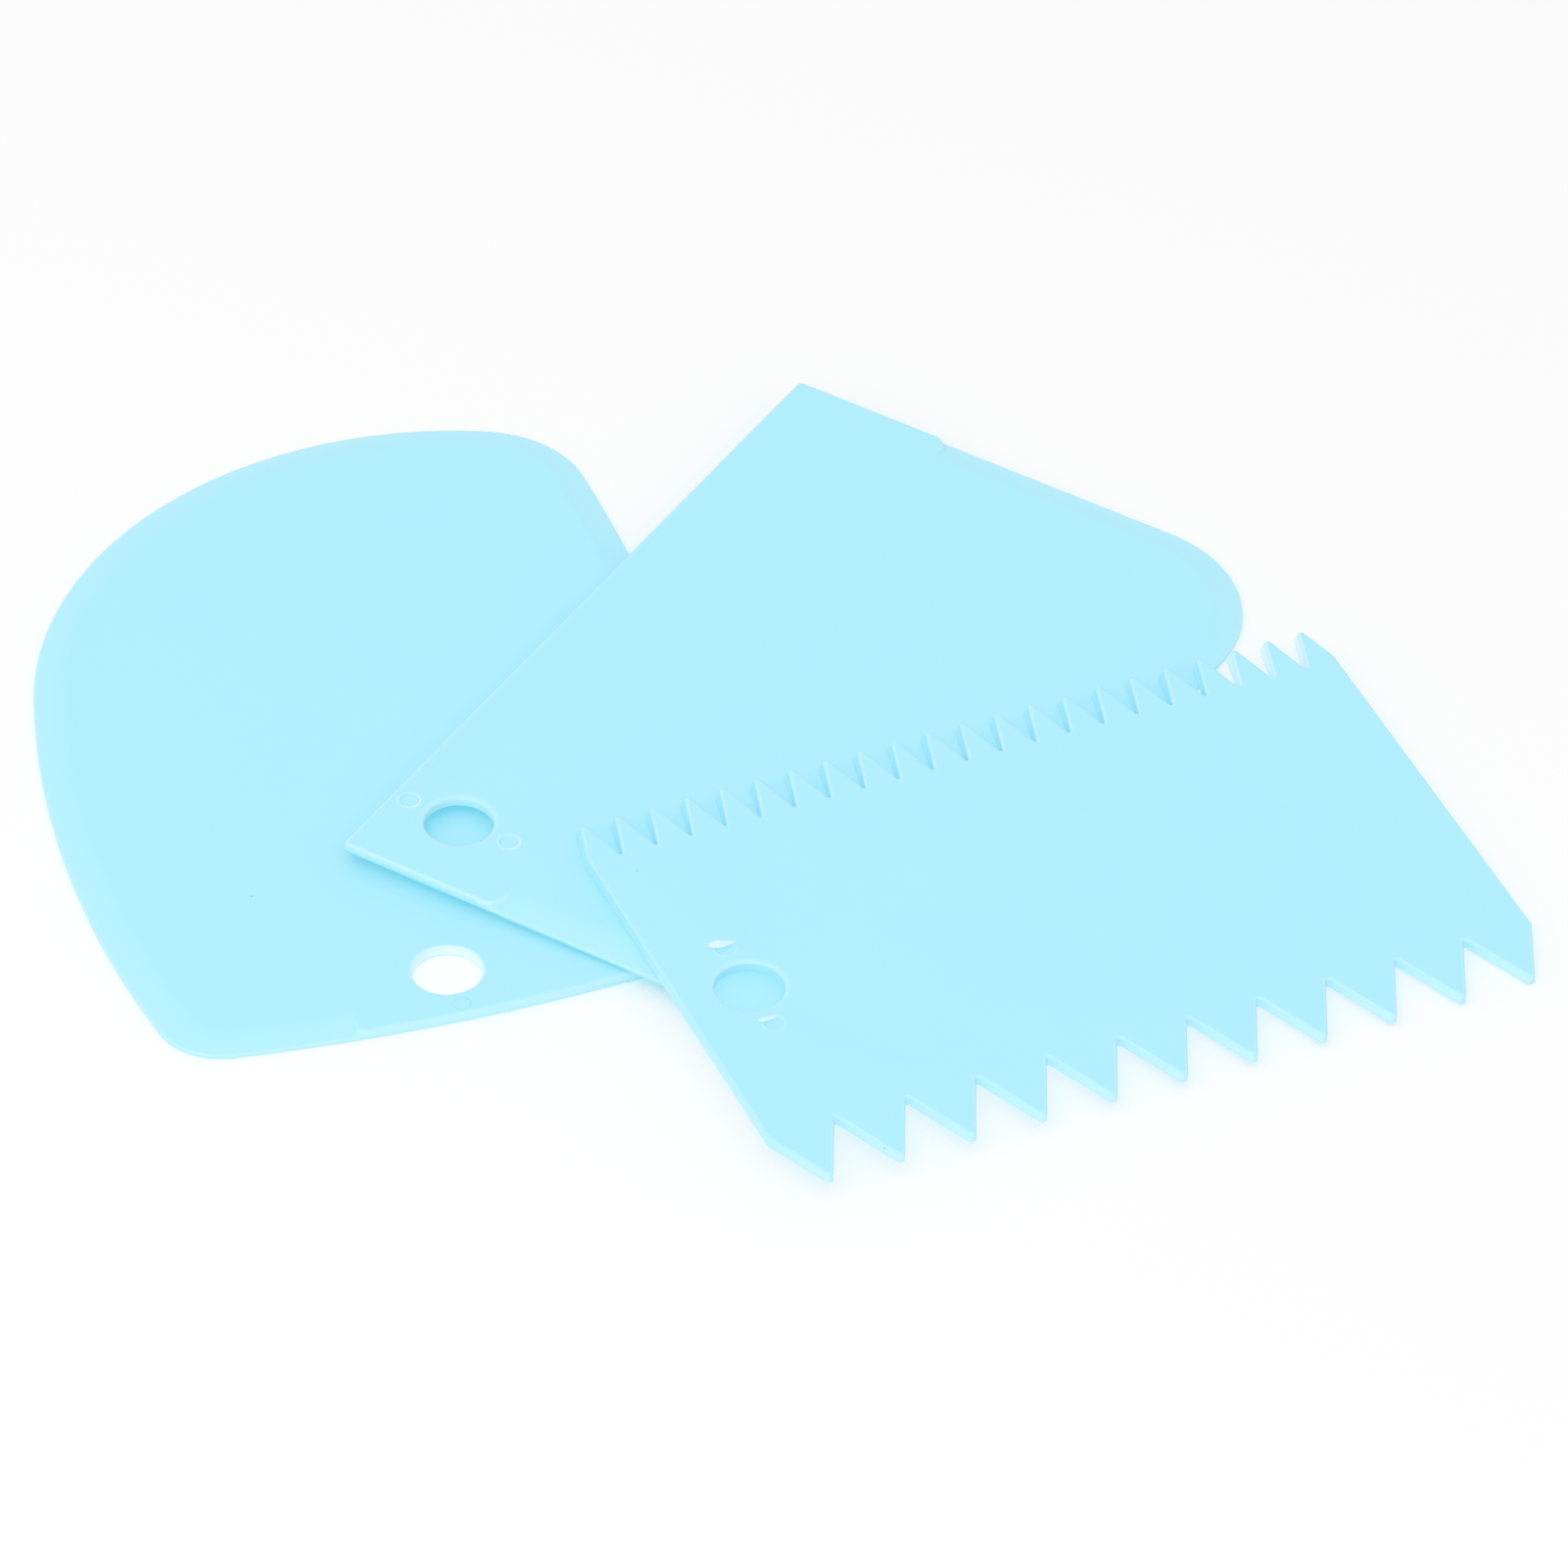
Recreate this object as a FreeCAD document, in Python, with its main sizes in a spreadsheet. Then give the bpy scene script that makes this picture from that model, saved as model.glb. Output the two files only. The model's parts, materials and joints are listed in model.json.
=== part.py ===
"""Three moulded icing scrapers, lying loose on one another: bowl scraper, straight scraper and comb.

Lengths are in millimetres. The model's frame has +Z up from the table, +X along the comb's rows of
teeth and the origin under the middle of the set's box.
"""
import math
import os
from types import SimpleNamespace

import FreeCAD
import Part
import Sketcher

SIZES = {
    # Bowl scraper: an outline of seven arcs, measured from its hang hole.
    "bowl_thickness": 1.5,
    "bowl_edge_thickness": 0.6,
    "bowl_bevel_width": 4.2,
    "bowl_hole_to_edge": 8.8,
    "bowl_bottom_radius": 241.4,
    "bowl_corner_radius": 9.2,
    "bowl_left_radius": 161.0,
    "bowl_left_reach": 42.0,
    "bowl_left_height": 33.0,
    "bowl_top_radius": 54.8,
    "bowl_top_height": 112.3,
    "bowl_shoulder_radius": 16.0,
    "bowl_right_radius": 273.0,
    "bowl_right_reach": 47.6,
    "bowl_right_height": 69.4,
    "bowl_handle_left": 14.5,
    "bowl_handle_right": 29.0,
    "bowl_run_out": 2.6,
    "bowl_mark_spacing": 7.0,
    # Straight scraper: a rectangle measured from the corner beside its hang hole.
    "straight_thickness": 1.5,
    "straight_edge_thickness": 0.6,
    "straight_bevel_width": 4.2,
    "straight_length": 116.0,
    "straight_width": 78.3,
    "straight_round_radius": 19.0,
    "straight_corner_radius": 1.0,
    "straight_handle_width": 23.8,
    "straight_run_out": 2.6,
    "straight_hole_from_side": 10.5,
    "straight_hole_from_end": 11.9,
    "straight_mark_spacing": 7.8,
    # Comb: measured from the left end of the line through the big teeth's roots.
    "comb_thickness": 1.5,
    "comb_pitch": 10.0,
    "comb_web_height": 56.9,
    "comb_big_depth": 11.0,
    "comb_small_depth": 8.9,
    "comb_tip_radius": 0.64,
    "comb_root_radius": 0.3,
    "comb_side_inset": 0.35,
    "comb_corner_radius": 0.6,
    "comb_rim_bevel": 0.35,
    "comb_hole_from_side": 10.0,
    "comb_hole_from_roots": 26.9,
    "comb_mark_spacing": 7.9,
    # Shared by the three mouldings.
    "hang_hole_diameter": 9.2,
    "hole_rim_bevel": 0.3,
    "rim_radius": 0.4,
    "mark_diameter": 2.7,
    "mark_depth": 0.2,
    # How they lie: places in plan from the comb's own corner, and the clear gaps of the stack.
    "bowl_place_left": 23.3,
    "bowl_place_up": 48.9,
    "straight_place_left": 27.3,
    "straight_place_up": 74.9,
    "seat_clearance": 0.1,
    "table_clearance": 0.02,
}
COUNTS = {
    "comb_big_count": 11,
    "comb_small_per_big": 2,
}
TURNS_DEG = {
    "bowl_turn_deg": -6.7,
    "straight_turn_deg": -55.2,
}

S = SimpleNamespace(**SIZES, **COUNTS, **TURNS_DEG)
UP = FreeCAD.Vector(0, 0, 1)
# Two coordinates closer than this are the same place.
SAME = 1e-6


# Sketches and features

def make_sheet(doc):
    """Writes every named size and count to a sheet, one alias each."""
    sheet = doc.addObject("Spreadsheet::Sheet", "Sizes")
    for row, (name, value) in enumerate({**SIZES, **COUNTS}.items(), start=1):
        sheet.set("A%d" % row, name)
        sheet.set("B%d" % row, str(value))
        sheet.setAlias("B%d" % row, name)
    doc.recompute()


def origin_feature(body, role):
    """Finds one of the body's own origin planes or axes."""
    return next(item for item in body.Origin.OriginFeatures if item.Role == role)


def add_sketch(body, label, height=None):
    """Adds a sketch flat on the body's base plane, raised by an expression if one is given."""
    sketch = body.newObject("Sketcher::SketchObject", label)
    sketch.AttachmentSupport = [(origin_feature(body, "XY_Plane"), "")]
    sketch.MapMode = "FlatFace"
    if height:
        sketch.setExpression("AttachmentOffset.Base.z", height)
    return sketch


def bind(sketch, constraint, expression):
    """Adds a constraint whose value follows an expression of named sizes."""
    index = sketch.addConstraint(constraint)
    sketch.setExpression("Constraints[%d]" % index, expression)


def hold(sketch, axis, geometry, point, expression):
    """Holds one coordinate of a point to an expression that gives its distance from the origin."""
    gap = getattr(sketch.getPoint(geometry, point), axis)
    ends = (-1, 1, geometry, point) if gap > 0 else (geometry, point, -1, 1)
    bind(sketch, Sketcher.Constraint("Distance" + axis.upper(), *ends, abs(gap)), expression)


def on_axis(sketch, axis, geometry, point):
    """Holds a point on the sketch's X or Y axis."""
    sketch.addConstraint(Sketcher.Constraint("PointOnObject", geometry, point, -1 if axis == "x" else -2))


def add_arc(sketch, centre, radius, start, end):
    """Adds the anticlockwise arc about a centre from the direction of one point to that of another."""
    first = math.atan2(start.y - centre.y, start.x - centre.x)
    last = math.atan2(end.y - centre.y, end.x - centre.x)
    if last < first:
        last += 2 * math.pi
    return sketch.addGeometry(Part.ArcOfCircle(Part.Circle(centre, UP, radius), first, last))


def add_line(sketch, start, end):
    """Adds a straight line between two points."""
    return sketch.addGeometry(Part.LineSegment(start, end))


def join(sketch, kind, pairs):
    """Joins end points, given as (geometry, point, geometry, point), by the named constraint."""
    for pair in pairs:
        sketch.addConstraint(Sketcher.Constraint(kind, *pair))


def add_feature(body, kind, label, links, expressions):
    """Adds a feature to a body, sets its plain properties and ties its sizes to expressions."""
    feature = body.newObject("PartDesign::" + kind, label)
    for name, value in links.items():
        setattr(feature, name, value)
    for name, expression in expressions.items():
        feature.setExpression(name, expression)
    body.Tip = feature
    body.Document.recompute()
    return feature


def edges_where(feature, test):
    """Names the edges of a feature whose end points and middle pass a test."""
    names = []
    for number, edge in enumerate(feature.Shape.Edges, start=1):
        middle = edge.valueAt((edge.FirstParameter + edge.LastParameter) / 2)
        if test([vertex.Point for vertex in edge.Vertexes], middle):
            names.append("Edge%d" % number)
    return names


def dress(body, kind, label, base, edges, properties, expressions):
    """Adds a fillet or chamfer on named edges of the feature before it."""
    return add_feature(body, kind, label, {"Base": (base, edges), **properties}, expressions)


def drill(body, label, thickness, place):
    """Cuts the hang hole through a plate, bevels its upper rim and returns the last feature."""
    sketch = add_sketch(body, label + "_sketch", thickness)
    centre = FreeCAD.Vector(place[0][0], place[1][0], 0)
    sketch.addGeometry(Part.Circle(centre, UP, S.hang_hole_diameter / 2))
    bind(sketch, Sketcher.Constraint("Diameter", 0, S.hang_hole_diameter), "Sizes.hang_hole_diameter")
    set_centre(sketch, 0, place)
    hole = add_feature(body, "Pocket", label, {"Profile": sketch, "Type": "ThroughAll"}, {})
    top = hole.Shape.BoundBox.ZMax

    def is_rim(ends, middle):
        reach = math.hypot(middle.x - centre.x, middle.y - centre.y)
        return abs(middle.z - top) < SAME and abs(reach - S.hang_hole_diameter / 2) < SAME

    rim = edges_where(hole, is_rim)
    return dress(body, "Chamfer", label + "_rim", hole, rim, {}, {"Size": "Sizes.hole_rim_bevel"})


def set_centre(sketch, geometry, place):
    """Holds a circle's centre at a place given as (value, expression) for x and for y."""
    for axis, (value, expression) in zip("xy", place):
        if abs(value) < SAME:
            on_axis(sketch, "y" if axis == "x" else "x", geometry, 3)
        else:
            hold(sketch, axis, geometry, 3, expression)


def stamp_marks(body, label, thickness, places):
    """Sinks the round ejector marks into a plate's upper face."""
    sketch = add_sketch(body, label + "_sketch", thickness)
    for number, place in enumerate(places):
        centre = FreeCAD.Vector(place[0][0], place[1][0], 0)
        sketch.addGeometry(Part.Circle(centre, UP, S.mark_diameter / 2))
        bind(sketch, Sketcher.Constraint("Diameter", number, S.mark_diameter), "Sizes.mark_diameter")
        set_centre(sketch, number, place)
    return add_feature(body, "Pocket", label, {"Profile": sketch}, {"Length": "Sizes.mark_depth"})


def end_bevel(body, label, plate, place):
    """Runs a bevel out in a small cone at the end of a handle's full thickness."""
    step = "(Sizes.%s_thickness - Sizes.%s_edge_thickness)" % (plate, plate)
    return add_feature(body, "SubtractiveCone", label, {
        "AttachmentSupport": [(origin_feature(body, "XY_Plane"), "")],
        "MapMode": "FlatFace",
        "Radius1": 0,
    }, {
        "AttachmentOffset.Base.x": place[0],
        "AttachmentOffset.Base.y": place[1],
        "AttachmentOffset.Base.z": "Sizes.%s_edge_thickness" % plate,
        "Radius2": "2 * Sizes.%s_run_out" % plate,
        "Height": "2 * " + step,
    })


# Bowl scraper

def inner_centre(first, first_radius, second, second_radius, radius, near):
    """Finds the centre of the circle that touches two others from inside, on the side of a point."""
    reach, other = first_radius - radius, second_radius - radius
    along = second - first
    gap = along.Length
    step = (reach ** 2 - other ** 2 + gap ** 2) / (2 * gap)
    rise = math.sqrt(reach ** 2 - step ** 2)
    along = along / gap
    across = FreeCAD.Vector(-along.y, along.x, 0)
    centres = [first + along * step + across * side * rise for side in (1, -1)]
    return min(centres, key=lambda centre: centre.distanceToPoint(near))


def touch(large, small):
    """Finds where a circle inside another meets it; each is a (centre, radius) pair."""
    away = small[0] - large[0]
    return large[0] + away * (large[1] / away.Length)


def bowl_circles():
    """Works out the circles of the bowl scraper's outline, anticlockwise from its bottom edge."""
    bottom = (FreeCAD.Vector(0, S.bowl_bottom_radius - S.bowl_hole_to_edge, 0), S.bowl_bottom_radius)
    left = (FreeCAD.Vector(S.bowl_left_radius - S.bowl_left_reach, S.bowl_left_height, 0), S.bowl_left_radius)
    right = (FreeCAD.Vector(S.bowl_right_reach - S.bowl_right_radius, S.bowl_right_height, 0),
             S.bowl_right_radius)
    top_y = S.bowl_top_height - S.bowl_top_radius
    run = math.sqrt((S.bowl_left_radius - S.bowl_top_radius) ** 2 - (top_y - S.bowl_left_height) ** 2)
    top = (FreeCAD.Vector(left[0].x - run, top_y, 0), S.bowl_top_radius)
    low, high = -S.bowl_hole_to_edge, S.bowl_top_height
    foot_right = FreeCAD.Vector(S.bowl_right_reach, low, 0)
    foot_left = FreeCAD.Vector(-S.bowl_left_reach, low, 0)
    head_right = FreeCAD.Vector(S.bowl_right_reach, high, 0)
    corner_right = (inner_centre(*bottom, *right, S.bowl_corner_radius, foot_right), S.bowl_corner_radius)
    corner_left = (inner_centre(*bottom, *left, S.bowl_corner_radius, foot_left), S.bowl_corner_radius)
    shoulder = (inner_centre(*top, *right, S.bowl_shoulder_radius, head_right), S.bowl_shoulder_radius)
    return bottom, corner_right, right, shoulder, top, left, corner_left


def draw_bowl_outline(sketch):
    """Draws the seven arcs, each tangent to the next, and ties their radii and centres to the sizes."""
    bottom, corner_right, right, shoulder, top, left, corner_left = circles = bowl_circles()
    joints = [touch(bottom, corner_right), touch(right, corner_right), touch(right, shoulder),
              touch(top, shoulder), touch(left, top), touch(left, corner_left), touch(bottom, corner_left)]
    for number, circle in enumerate(circles):
        add_arc(sketch, *circle, joints[number - 1], joints[number])
    count = len(circles)
    join(sketch, "Tangent", [(number, 2, (number + 1) % count, 1) for number in range(count)])
    radii = ("bottom", "corner", "right", "shoulder", "top", "left", "corner")
    for number, name in enumerate(radii):
        radius = Sketcher.Constraint("Radius", number, circles[number][1])
        bind(sketch, radius, "Sizes.bowl_%s_radius" % name)
    on_axis(sketch, "y", 0, 3)
    hold(sketch, "y", 0, 3, "Sizes.bowl_bottom_radius - Sizes.bowl_hole_to_edge")
    hold(sketch, "x", 2, 3, "Sizes.bowl_right_radius - Sizes.bowl_right_reach")
    hold(sketch, "y", 2, 3, "Sizes.bowl_right_height")
    hold(sketch, "y", 4, 3, "Sizes.bowl_top_height - Sizes.bowl_top_radius")
    hold(sketch, "x", 5, 3, "Sizes.bowl_left_radius - Sizes.bowl_left_reach")
    hold(sketch, "y", 5, 3, "Sizes.bowl_left_height")


def draw_bowl_handle(sketch):
    """Draws the patch of the bottom edge that keeps its full thickness."""
    centre, radius = bowl_circles()[0]
    ends = (-S.bowl_handle_left, S.bowl_handle_right)
    lows = [centre.y - math.sqrt(radius ** 2 - end ** 2) for end in ends]
    high = 2 * S.bowl_bevel_width - S.bowl_hole_to_edge
    corners = [FreeCAD.Vector(x, y, 0) for x, y in (
        (ends[0], lows[0]), (ends[1], lows[1]), (ends[1], high), (ends[0], high))]
    add_arc(sketch, centre, radius, corners[0], corners[1])
    for number in (1, 2, 3):
        add_line(sketch, corners[number], corners[(number + 1) % 4])
    join(sketch, "Coincident", [(0, 2, 1, 1), (1, 2, 2, 1), (2, 2, 3, 1), (3, 2, 0, 1)])
    join(sketch, "Vertical", [(1,), (3,)])
    join(sketch, "Horizontal", [(2,)])
    bind(sketch, Sketcher.Constraint("Radius", 0, radius), "Sizes.bowl_bottom_radius")
    on_axis(sketch, "y", 0, 3)
    hold(sketch, "y", 0, 3, "Sizes.bowl_bottom_radius - Sizes.bowl_hole_to_edge")
    hold(sketch, "x", 0, 1, "Sizes.bowl_handle_left")
    hold(sketch, "x", 0, 2, "Sizes.bowl_handle_right")
    hold(sketch, "y", 2, 1, "abs(2 * Sizes.bowl_bevel_width - Sizes.bowl_hole_to_edge)")


def bevel_rim(body, plate, pad):
    """Bevels every upper edge of a plate from its full thickness to its thin edge."""
    top = pad.Shape.BoundBox.ZMax
    rim = edges_where(pad, lambda ends, middle: all(abs(end.z - top) < SAME for end in ends))
    step = "Sizes.%s_thickness - Sizes.%s_edge_thickness" % (plate, plate)
    return dress(body, "Chamfer", plate + "_bevel", pad, rim, {"ChamferType": "Two distances"}, {
        "Size": step,
        "Size2": "Sizes.%s_bevel_width" % plate,
    })


def make_bowl(doc):
    """Builds the bowl scraper: bevelled plate, thick handle patch, hang hole and ejector mark."""
    body = doc.addObject("PartDesign::Body", "bowl_scraper")
    thickness = "Sizes.bowl_thickness"
    outline = add_sketch(body, "bowl_outline")
    draw_bowl_outline(outline)
    pad = add_feature(body, "Pad", "bowl_plate", {"Profile": outline}, {"Length": thickness})
    bevel_rim(body, "bowl", pad)
    patch = add_sketch(body, "bowl_handle_sketch")
    draw_bowl_handle(patch)
    handle = add_feature(body, "Pad", "bowl_handle", {"Profile": patch}, {"Length": thickness})
    centre, radius = bowl_circles()[0]

    def is_grip(ends, middle):
        outer = abs(middle.distanceToPoint(FreeCAD.Vector(centre.x, centre.y, middle.z)) - radius) < SAME
        return outer and all(abs(end.z - S.bowl_thickness) < SAME for end in ends)

    dress(body, "Fillet", "bowl_handle_rim", handle, edges_where(handle, is_grip), {},
          {"Radius": "Sizes.rim_radius"})
    for side, sign in (("left", "-"), ("right", "")):
        reach = "Sizes.bowl_handle_" + side
        rise = ("Sizes.bowl_bottom_radius - Sizes.bowl_hole_to_edge"
                " - sqrt(Sizes.bowl_bottom_radius ^ 2 - %s ^ 2)" % reach)
        end_bevel(body, "bowl_run_out_" + side, "bowl", (sign + reach, rise))
    drill(body, "bowl_hole", thickness, ((0, ""), (0, "")))
    stamp_marks(body, "bowl_mark", thickness, [((0, ""), (-S.bowl_mark_spacing, "Sizes.bowl_mark_spacing"))])
    return body


# Straight scraper

def draw_straight_outline(sketch):
    """Draws the bevelled part: two round corners, and a plain side that ends inside the handle."""
    near, far = S.straight_handle_width / 2, S.straight_width
    length, radius = S.straight_length, S.straight_round_radius
    points = [FreeCAD.Vector(x, y, 0) for x, y in (
        (near, 0), (far - radius, 0), (far, radius), (far, length - radius), (far - radius, length), (near, length))]
    low, high = FreeCAD.Vector(far - radius, radius, 0), FreeCAD.Vector(far - radius, length - radius, 0)
    add_line(sketch, points[0], points[1])
    add_arc(sketch, low, radius, points[1], points[2])
    add_line(sketch, points[2], points[3])
    add_arc(sketch, high, radius, points[3], points[4])
    add_line(sketch, points[4], points[5])
    add_line(sketch, points[5], points[0])
    join(sketch, "Tangent", [(0, 2, 1, 1), (1, 2, 2, 1), (2, 2, 3, 1), (3, 2, 4, 1)])
    join(sketch, "Coincident", [(4, 2, 5, 1), (5, 2, 0, 1)])
    join(sketch, "Vertical", [(2,), (5,)])
    join(sketch, "Horizontal", [(0,), (4,)])
    on_axis(sketch, "x", 0, 1)
    for number in (1, 3):
        bind(sketch, Sketcher.Constraint("Radius", number, radius), "Sizes.straight_round_radius")
    hold(sketch, "x", 0, 1, "Sizes.straight_handle_width / 2")
    hold(sketch, "x", 2, 1, "Sizes.straight_width")
    hold(sketch, "y", 4, 1, "Sizes.straight_length")


def draw_straight_handle(sketch):
    """Draws the strip along the straight side that keeps its full thickness."""
    width, length, radius = S.straight_handle_width, S.straight_length, S.straight_corner_radius
    points = [FreeCAD.Vector(x, y, 0) for x, y in (
        (radius, 0), (width, 0), (width, length), (radius, length), (0, length - radius), (0, radius))]
    high, low = FreeCAD.Vector(radius, length - radius, 0), FreeCAD.Vector(radius, radius, 0)
    for number in (0, 1, 2):
        add_line(sketch, points[number], points[number + 1])
    add_arc(sketch, high, radius, points[3], points[4])
    add_line(sketch, points[4], points[5])
    add_arc(sketch, low, radius, points[5], points[0])
    join(sketch, "Coincident", [(0, 2, 1, 1), (1, 2, 2, 1)])
    join(sketch, "Tangent", [(2, 2, 3, 1), (3, 2, 4, 1), (4, 2, 5, 1), (5, 2, 0, 1)])
    join(sketch, "Vertical", [(1,), (4,)])
    join(sketch, "Horizontal", [(0,), (2,)])
    on_axis(sketch, "x", 0, 1)
    on_axis(sketch, "y", 4, 1)
    for number in (3, 5):
        bind(sketch, Sketcher.Constraint("Radius", number, radius), "Sizes.straight_corner_radius")
    hold(sketch, "x", 1, 1, "Sizes.straight_handle_width")
    hold(sketch, "y", 2, 1, "Sizes.straight_length")


def make_straight(doc):
    """Builds the straight scraper: bevelled plate, thick handle strip, hang hole and ejector marks."""
    body = doc.addObject("PartDesign::Body", "straight_scraper")
    thickness = "Sizes.straight_thickness"
    outline = add_sketch(body, "straight_outline")
    draw_straight_outline(outline)
    pad = add_feature(body, "Pad", "straight_plate", {"Profile": outline}, {"Length": thickness})
    bevel_rim(body, "straight", pad)
    strip = add_sketch(body, "straight_handle_sketch")
    draw_straight_handle(strip)
    handle = add_feature(body, "Pad", "straight_handle", {"Profile": strip}, {"Length": thickness})

    def is_grip(ends, middle):
        outer = min(middle.x, middle.y, S.straight_length - middle.y) < S.straight_corner_radius / 2
        return outer and all(abs(end.z - S.straight_thickness) < SAME for end in ends)

    dress(body, "Fillet", "straight_handle_rim", handle, edges_where(handle, is_grip), {},
          {"Radius": "Sizes.rim_radius"})
    end_bevel(body, "straight_run_out_low", "straight", ("Sizes.straight_handle_width", "0"))
    end_bevel(body, "straight_run_out_high", "straight", ("Sizes.straight_handle_width", "Sizes.straight_length"))
    side = (S.straight_hole_from_side, "Sizes.straight_hole_from_side")
    end = (S.straight_hole_from_end, "Sizes.straight_hole_from_end")
    drill(body, "straight_hole", thickness, (side, end))
    spacing = S.straight_mark_spacing
    places = [((side[0] + sign * spacing, side[1] + " %s Sizes.straight_mark_spacing" % word), end)
              for sign, word in ((-1, "-"), (1, "+"))]
    stamp_marks(body, "straight_marks", thickness, places)
    return body


# Comb

def draw_tooth(sketch, pitch, depth, root_line, side):
    """Draws one tooth from root to root, with a rounded tip and half of each rounded root.

    Pitch, depth and root line are (value, expression) pairs; side is -1 or 1 for the way it points.
    """
    lean = math.atan(pitch[0] / 2 / depth[0])
    slope = "sin(atan(%s / 2 / %s))" % (pitch[1], depth[1])
    tip_y = root_line[0] + side * (depth[0] - S.comb_tip_radius / math.sin(lean))
    root_y = root_line[0] + side * S.comb_root_radius / math.sin(lean)
    tip = FreeCAD.Vector(pitch[0] / 2, tip_y, 0)
    roots = [FreeCAD.Vector(x, root_y, 0) for x in (0, pitch[0])]
    normals = [FreeCAD.Vector(sign * math.cos(lean), side * math.sin(lean), 0) for sign in (-1, 1)]
    floors = [root - FreeCAD.Vector(0, side * S.comb_root_radius, 0) for root in roots]
    flank_roots = [root - normal * S.comb_root_radius for root, normal in zip(roots, normals)]
    flank_tips = [tip + normal * S.comb_tip_radius for normal in normals]
    inner_y = root_line[0] - side * S.comb_tip_radius
    inners = [FreeCAD.Vector(x, inner_y, 0) for x in (0, pitch[0])]
    # Arcs are stored anticlockwise, so which end of each meets its line depends on the tooth's side.
    first, last = (1, 2) if side < 0 else (2, 1)
    arcs = [(roots[0], S.comb_root_radius, flank_roots[0], floors[0]),
            (tip, S.comb_tip_radius, flank_tips[0], flank_tips[1]),
            (roots[1], S.comb_root_radius, floors[1], flank_roots[1])]
    for centre, radius, start, end in arcs:
        add_arc(sketch, centre, radius, *((start, end) if side < 0 else (end, start)))
    add_line(sketch, flank_roots[0], flank_tips[0])
    add_line(sketch, flank_tips[1], flank_roots[1])
    add_line(sketch, floors[1], inners[1])
    add_line(sketch, inners[1], inners[0])
    add_line(sketch, inners[0], floors[0])
    join(sketch, "Tangent", [(0, first, 3, 1), (3, 2, 1, first), (1, last, 4, 1), (4, 2, 2, last)])
    join(sketch, "Coincident", [(2, first, 5, 1), (5, 2, 6, 1), (6, 2, 7, 1), (7, 2, 0, last)])
    join(sketch, "Vertical", [(5,), (7,)])
    join(sketch, "Horizontal", [(6,)])
    for number, name in ((0, "root"), (1, "tip"), (2, "root")):
        radius = Sketcher.Constraint("Radius", number, arcs[number][1])
        bind(sketch, radius, "Sizes.comb_%s_radius" % name)
    turn = "abs(%s + %d * (%%s))" % (root_line[1], side)
    on_axis(sketch, "y", 0, 3)
    on_axis(sketch, "y", 0, last)
    hold(sketch, "y", 0, 3, turn % ("Sizes.comb_root_radius / %s" % slope))
    hold(sketch, "x", 1, 3, pitch[1] + " / 2")
    hold(sketch, "y", 1, 3, turn % ("%s - Sizes.comb_tip_radius / %s" % (depth[1], slope)))
    hold(sketch, "x", 2, 3, pitch[1])
    hold(sketch, "y", 2, 3, turn % ("Sizes.comb_root_radius / %s" % slope))
    hold(sketch, "x", 2, first, pitch[1])
    hold(sketch, "y", 6, 1, turn % "-Sizes.comb_tip_radius")


def add_row(body, label, pitch, depth, count, root_line, side):
    """Pads one tooth and repeats it along the comb."""
    sketch = add_sketch(body, label + "_sketch")
    draw_tooth(sketch, pitch, depth, root_line, side)
    tooth = add_feature(body, "Pad", label + "_tooth", {"Profile": sketch}, {"Length": "Sizes.comb_thickness"})
    return add_feature(body, "LinearPattern", label + "_row", {
        "Originals": [tooth],
        "Direction": (origin_feature(body, "X_Axis"), [""]),
    }, {
        "Length": "(%s - 1) * %s" % (count, pitch[1]),
        "Occurrences": count,
    })


def rectangle(sketch, low, high):
    """Draws a rectangle; each corner is given as (value, expression) for x and for y."""
    corners = [(low[0], low[1]), (high[0], low[1]), (high[0], high[1]), (low[0], high[1])]
    points = [FreeCAD.Vector(x[0], y[0], 0) for x, y in corners]
    first = len(sketch.Geometry)
    for number in range(4):
        add_line(sketch, points[number], points[(number + 1) % 4])
    join(sketch, "Coincident", [(first + number, 2, first + (number + 1) % 4, 1) for number in range(4)])
    join(sketch, "Horizontal", [(first,), (first + 2,)])
    join(sketch, "Vertical", [(first + 1,), (first + 3,)])
    for number, corner in ((first, low), (first + 2, high)):
        for axis, (value, expression) in zip("xy", corner):
            if abs(value) < SAME:
                on_axis(sketch, "y" if axis == "x" else "x", number, 1)
            else:
                hold(sketch, axis, number, 1, expression)


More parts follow.
